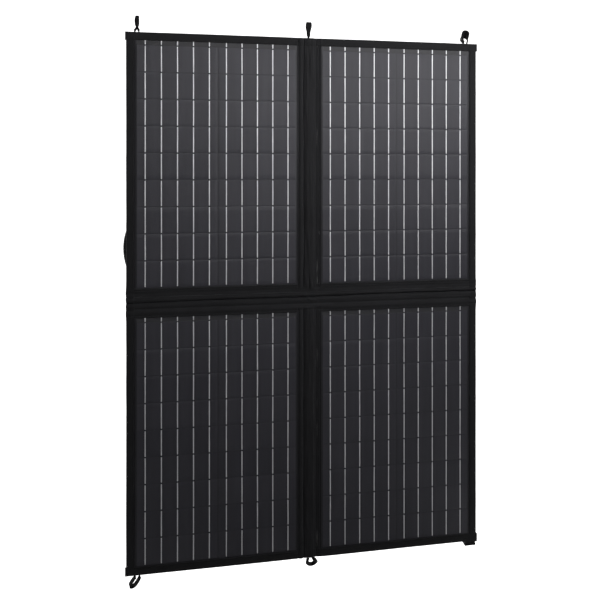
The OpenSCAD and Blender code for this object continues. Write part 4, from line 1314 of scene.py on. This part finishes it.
# floor that curves up into a backdrop far behind
prof = [(-6.0, 0.0), (-3.0, 0.0), (0.0, 0.0), (2.5, 0.0), (4.2, 0.0)]
for a in range(10, 91, 10):
    q = math.radians(a)
    prof.append((4.2 + 1.6 * math.sin(q), 1.6 - 1.6 * math.cos(q)))
prof.append((5.8, 6.0))
fv, ff = [], []
for x in (-7.0, -3.5, 0.0, 3.5, 7.0):
    fv += [(x * 1000, y * 1000, (z + FLOOR_Z) * 1000) for y, z in prof]
npf = len(prof)
for c in range(4):
    for r in range(npf - 1):
        ff.append((c * npf + r, c * npf + r + 1, (c + 1) * npf + r + 1, (c + 1) * npf + r))
floor = make("floor", fv, ff, fm)


def area(name, loc, target, size, power, color=(1, 1, 1), size_y=None):
    l = bpy.data.lights.new(name, "AREA")
    l.energy = power
    l.color = color
    l.shape = "RECTANGLE"
    l.size = size
    l.size_y = size_y or size
    o = bpy.data.objects.new(name, l)
    bpy.context.scene.collection.objects.link(o)
    o.location = loc
    d = Vector(target) - Vector(loc)
    o.rotation_mode = "QUATERNION"
    o.rotation_quaternion = d.to_track_quat("-Z", "Y")
    o.visible_camera = False
    return o


area("key_light", (0.42, -0.64, 0.60), (0.22, 0, 0.37), 1.5, 9.2, size_y=0.3)
area("top_light", (0.1, -0.42, 1.4), (0.1, 0, 0.3), 0.5, 2.4)
area("fill_light", (-1.9, -1.1, 0.3), (0, 0, 0.2), 0.8, 1.6)
area("back_light", (0.9, 1.7, 1.4), (0, 0, 0), 0.9, 95)
area("back_fill", (-1.6, 1.6, 0.2), (0, 0, 0), 0.9, 30)

world = bpy.data.worlds.new("studio")
bpy.context.scene.world = world
world.use_nodes = True
wn = world.node_tree
bg = next(n for n in wn.nodes if n.type == "BACKGROUND")
bg.inputs["Color"].default_value = (1, 1, 1, 1)
lpw = wn.nodes.new("ShaderNodeLightPath")
mulw = wn.nodes.new("ShaderNodeMath")
mulw.operation = "MULTIPLY_ADD"
mulw.inputs[1].default_value = 1.9
mulw.inputs[2].default_value = 0.015
wn.links.new(lpw.outputs["Is Camera Ray"], mulw.inputs[0])
wn.links.new(mulw.outputs[0], bg.inputs["Strength"])

bpy.context.scene.view_settings.view_transform = "Standard"

cam = bpy.data.cameras.new("camera")
cam.sensor_width = 36.0
cam.lens = 823.3 / 600.0 * 36.0
cam.shift_y = (172.8 - 300.0) / 600.0
cam.shift_x = 0.0
cam.clip_start, cam.clip_end = 0.05, 50
co = bpy.data.objects.new("camera", cam)
bpy.context.scene.collection.objects.link(co)
co.location = (-0.3817, -1.6396, 0.2549)
co.rotation_euler = (math.radians(90), 0, -math.radians(12.5))
bpy.context.scene.camera = co
dr = cam.driver_add("shift_y").driver
dr.type = "SCRIPTED"
for var, chan in (("x", "LOC_X"), ("y", "LOC_Y"), ("z", "LOC_Z")):
    q = dr.variables.new()
    q.name = var
    q.type = "TRANSFORMS"
    q.targets[0].id = co
    q.targets[0].transform_type = chan
    q.targets[0].transform_space = "WORLD_SPACE"
dr.expression = "-0.212 if (x + 0.3817)**2 + (y + 1.6396)**2 + (z - 0.2549)**2 < 0.0004 else 0.0"
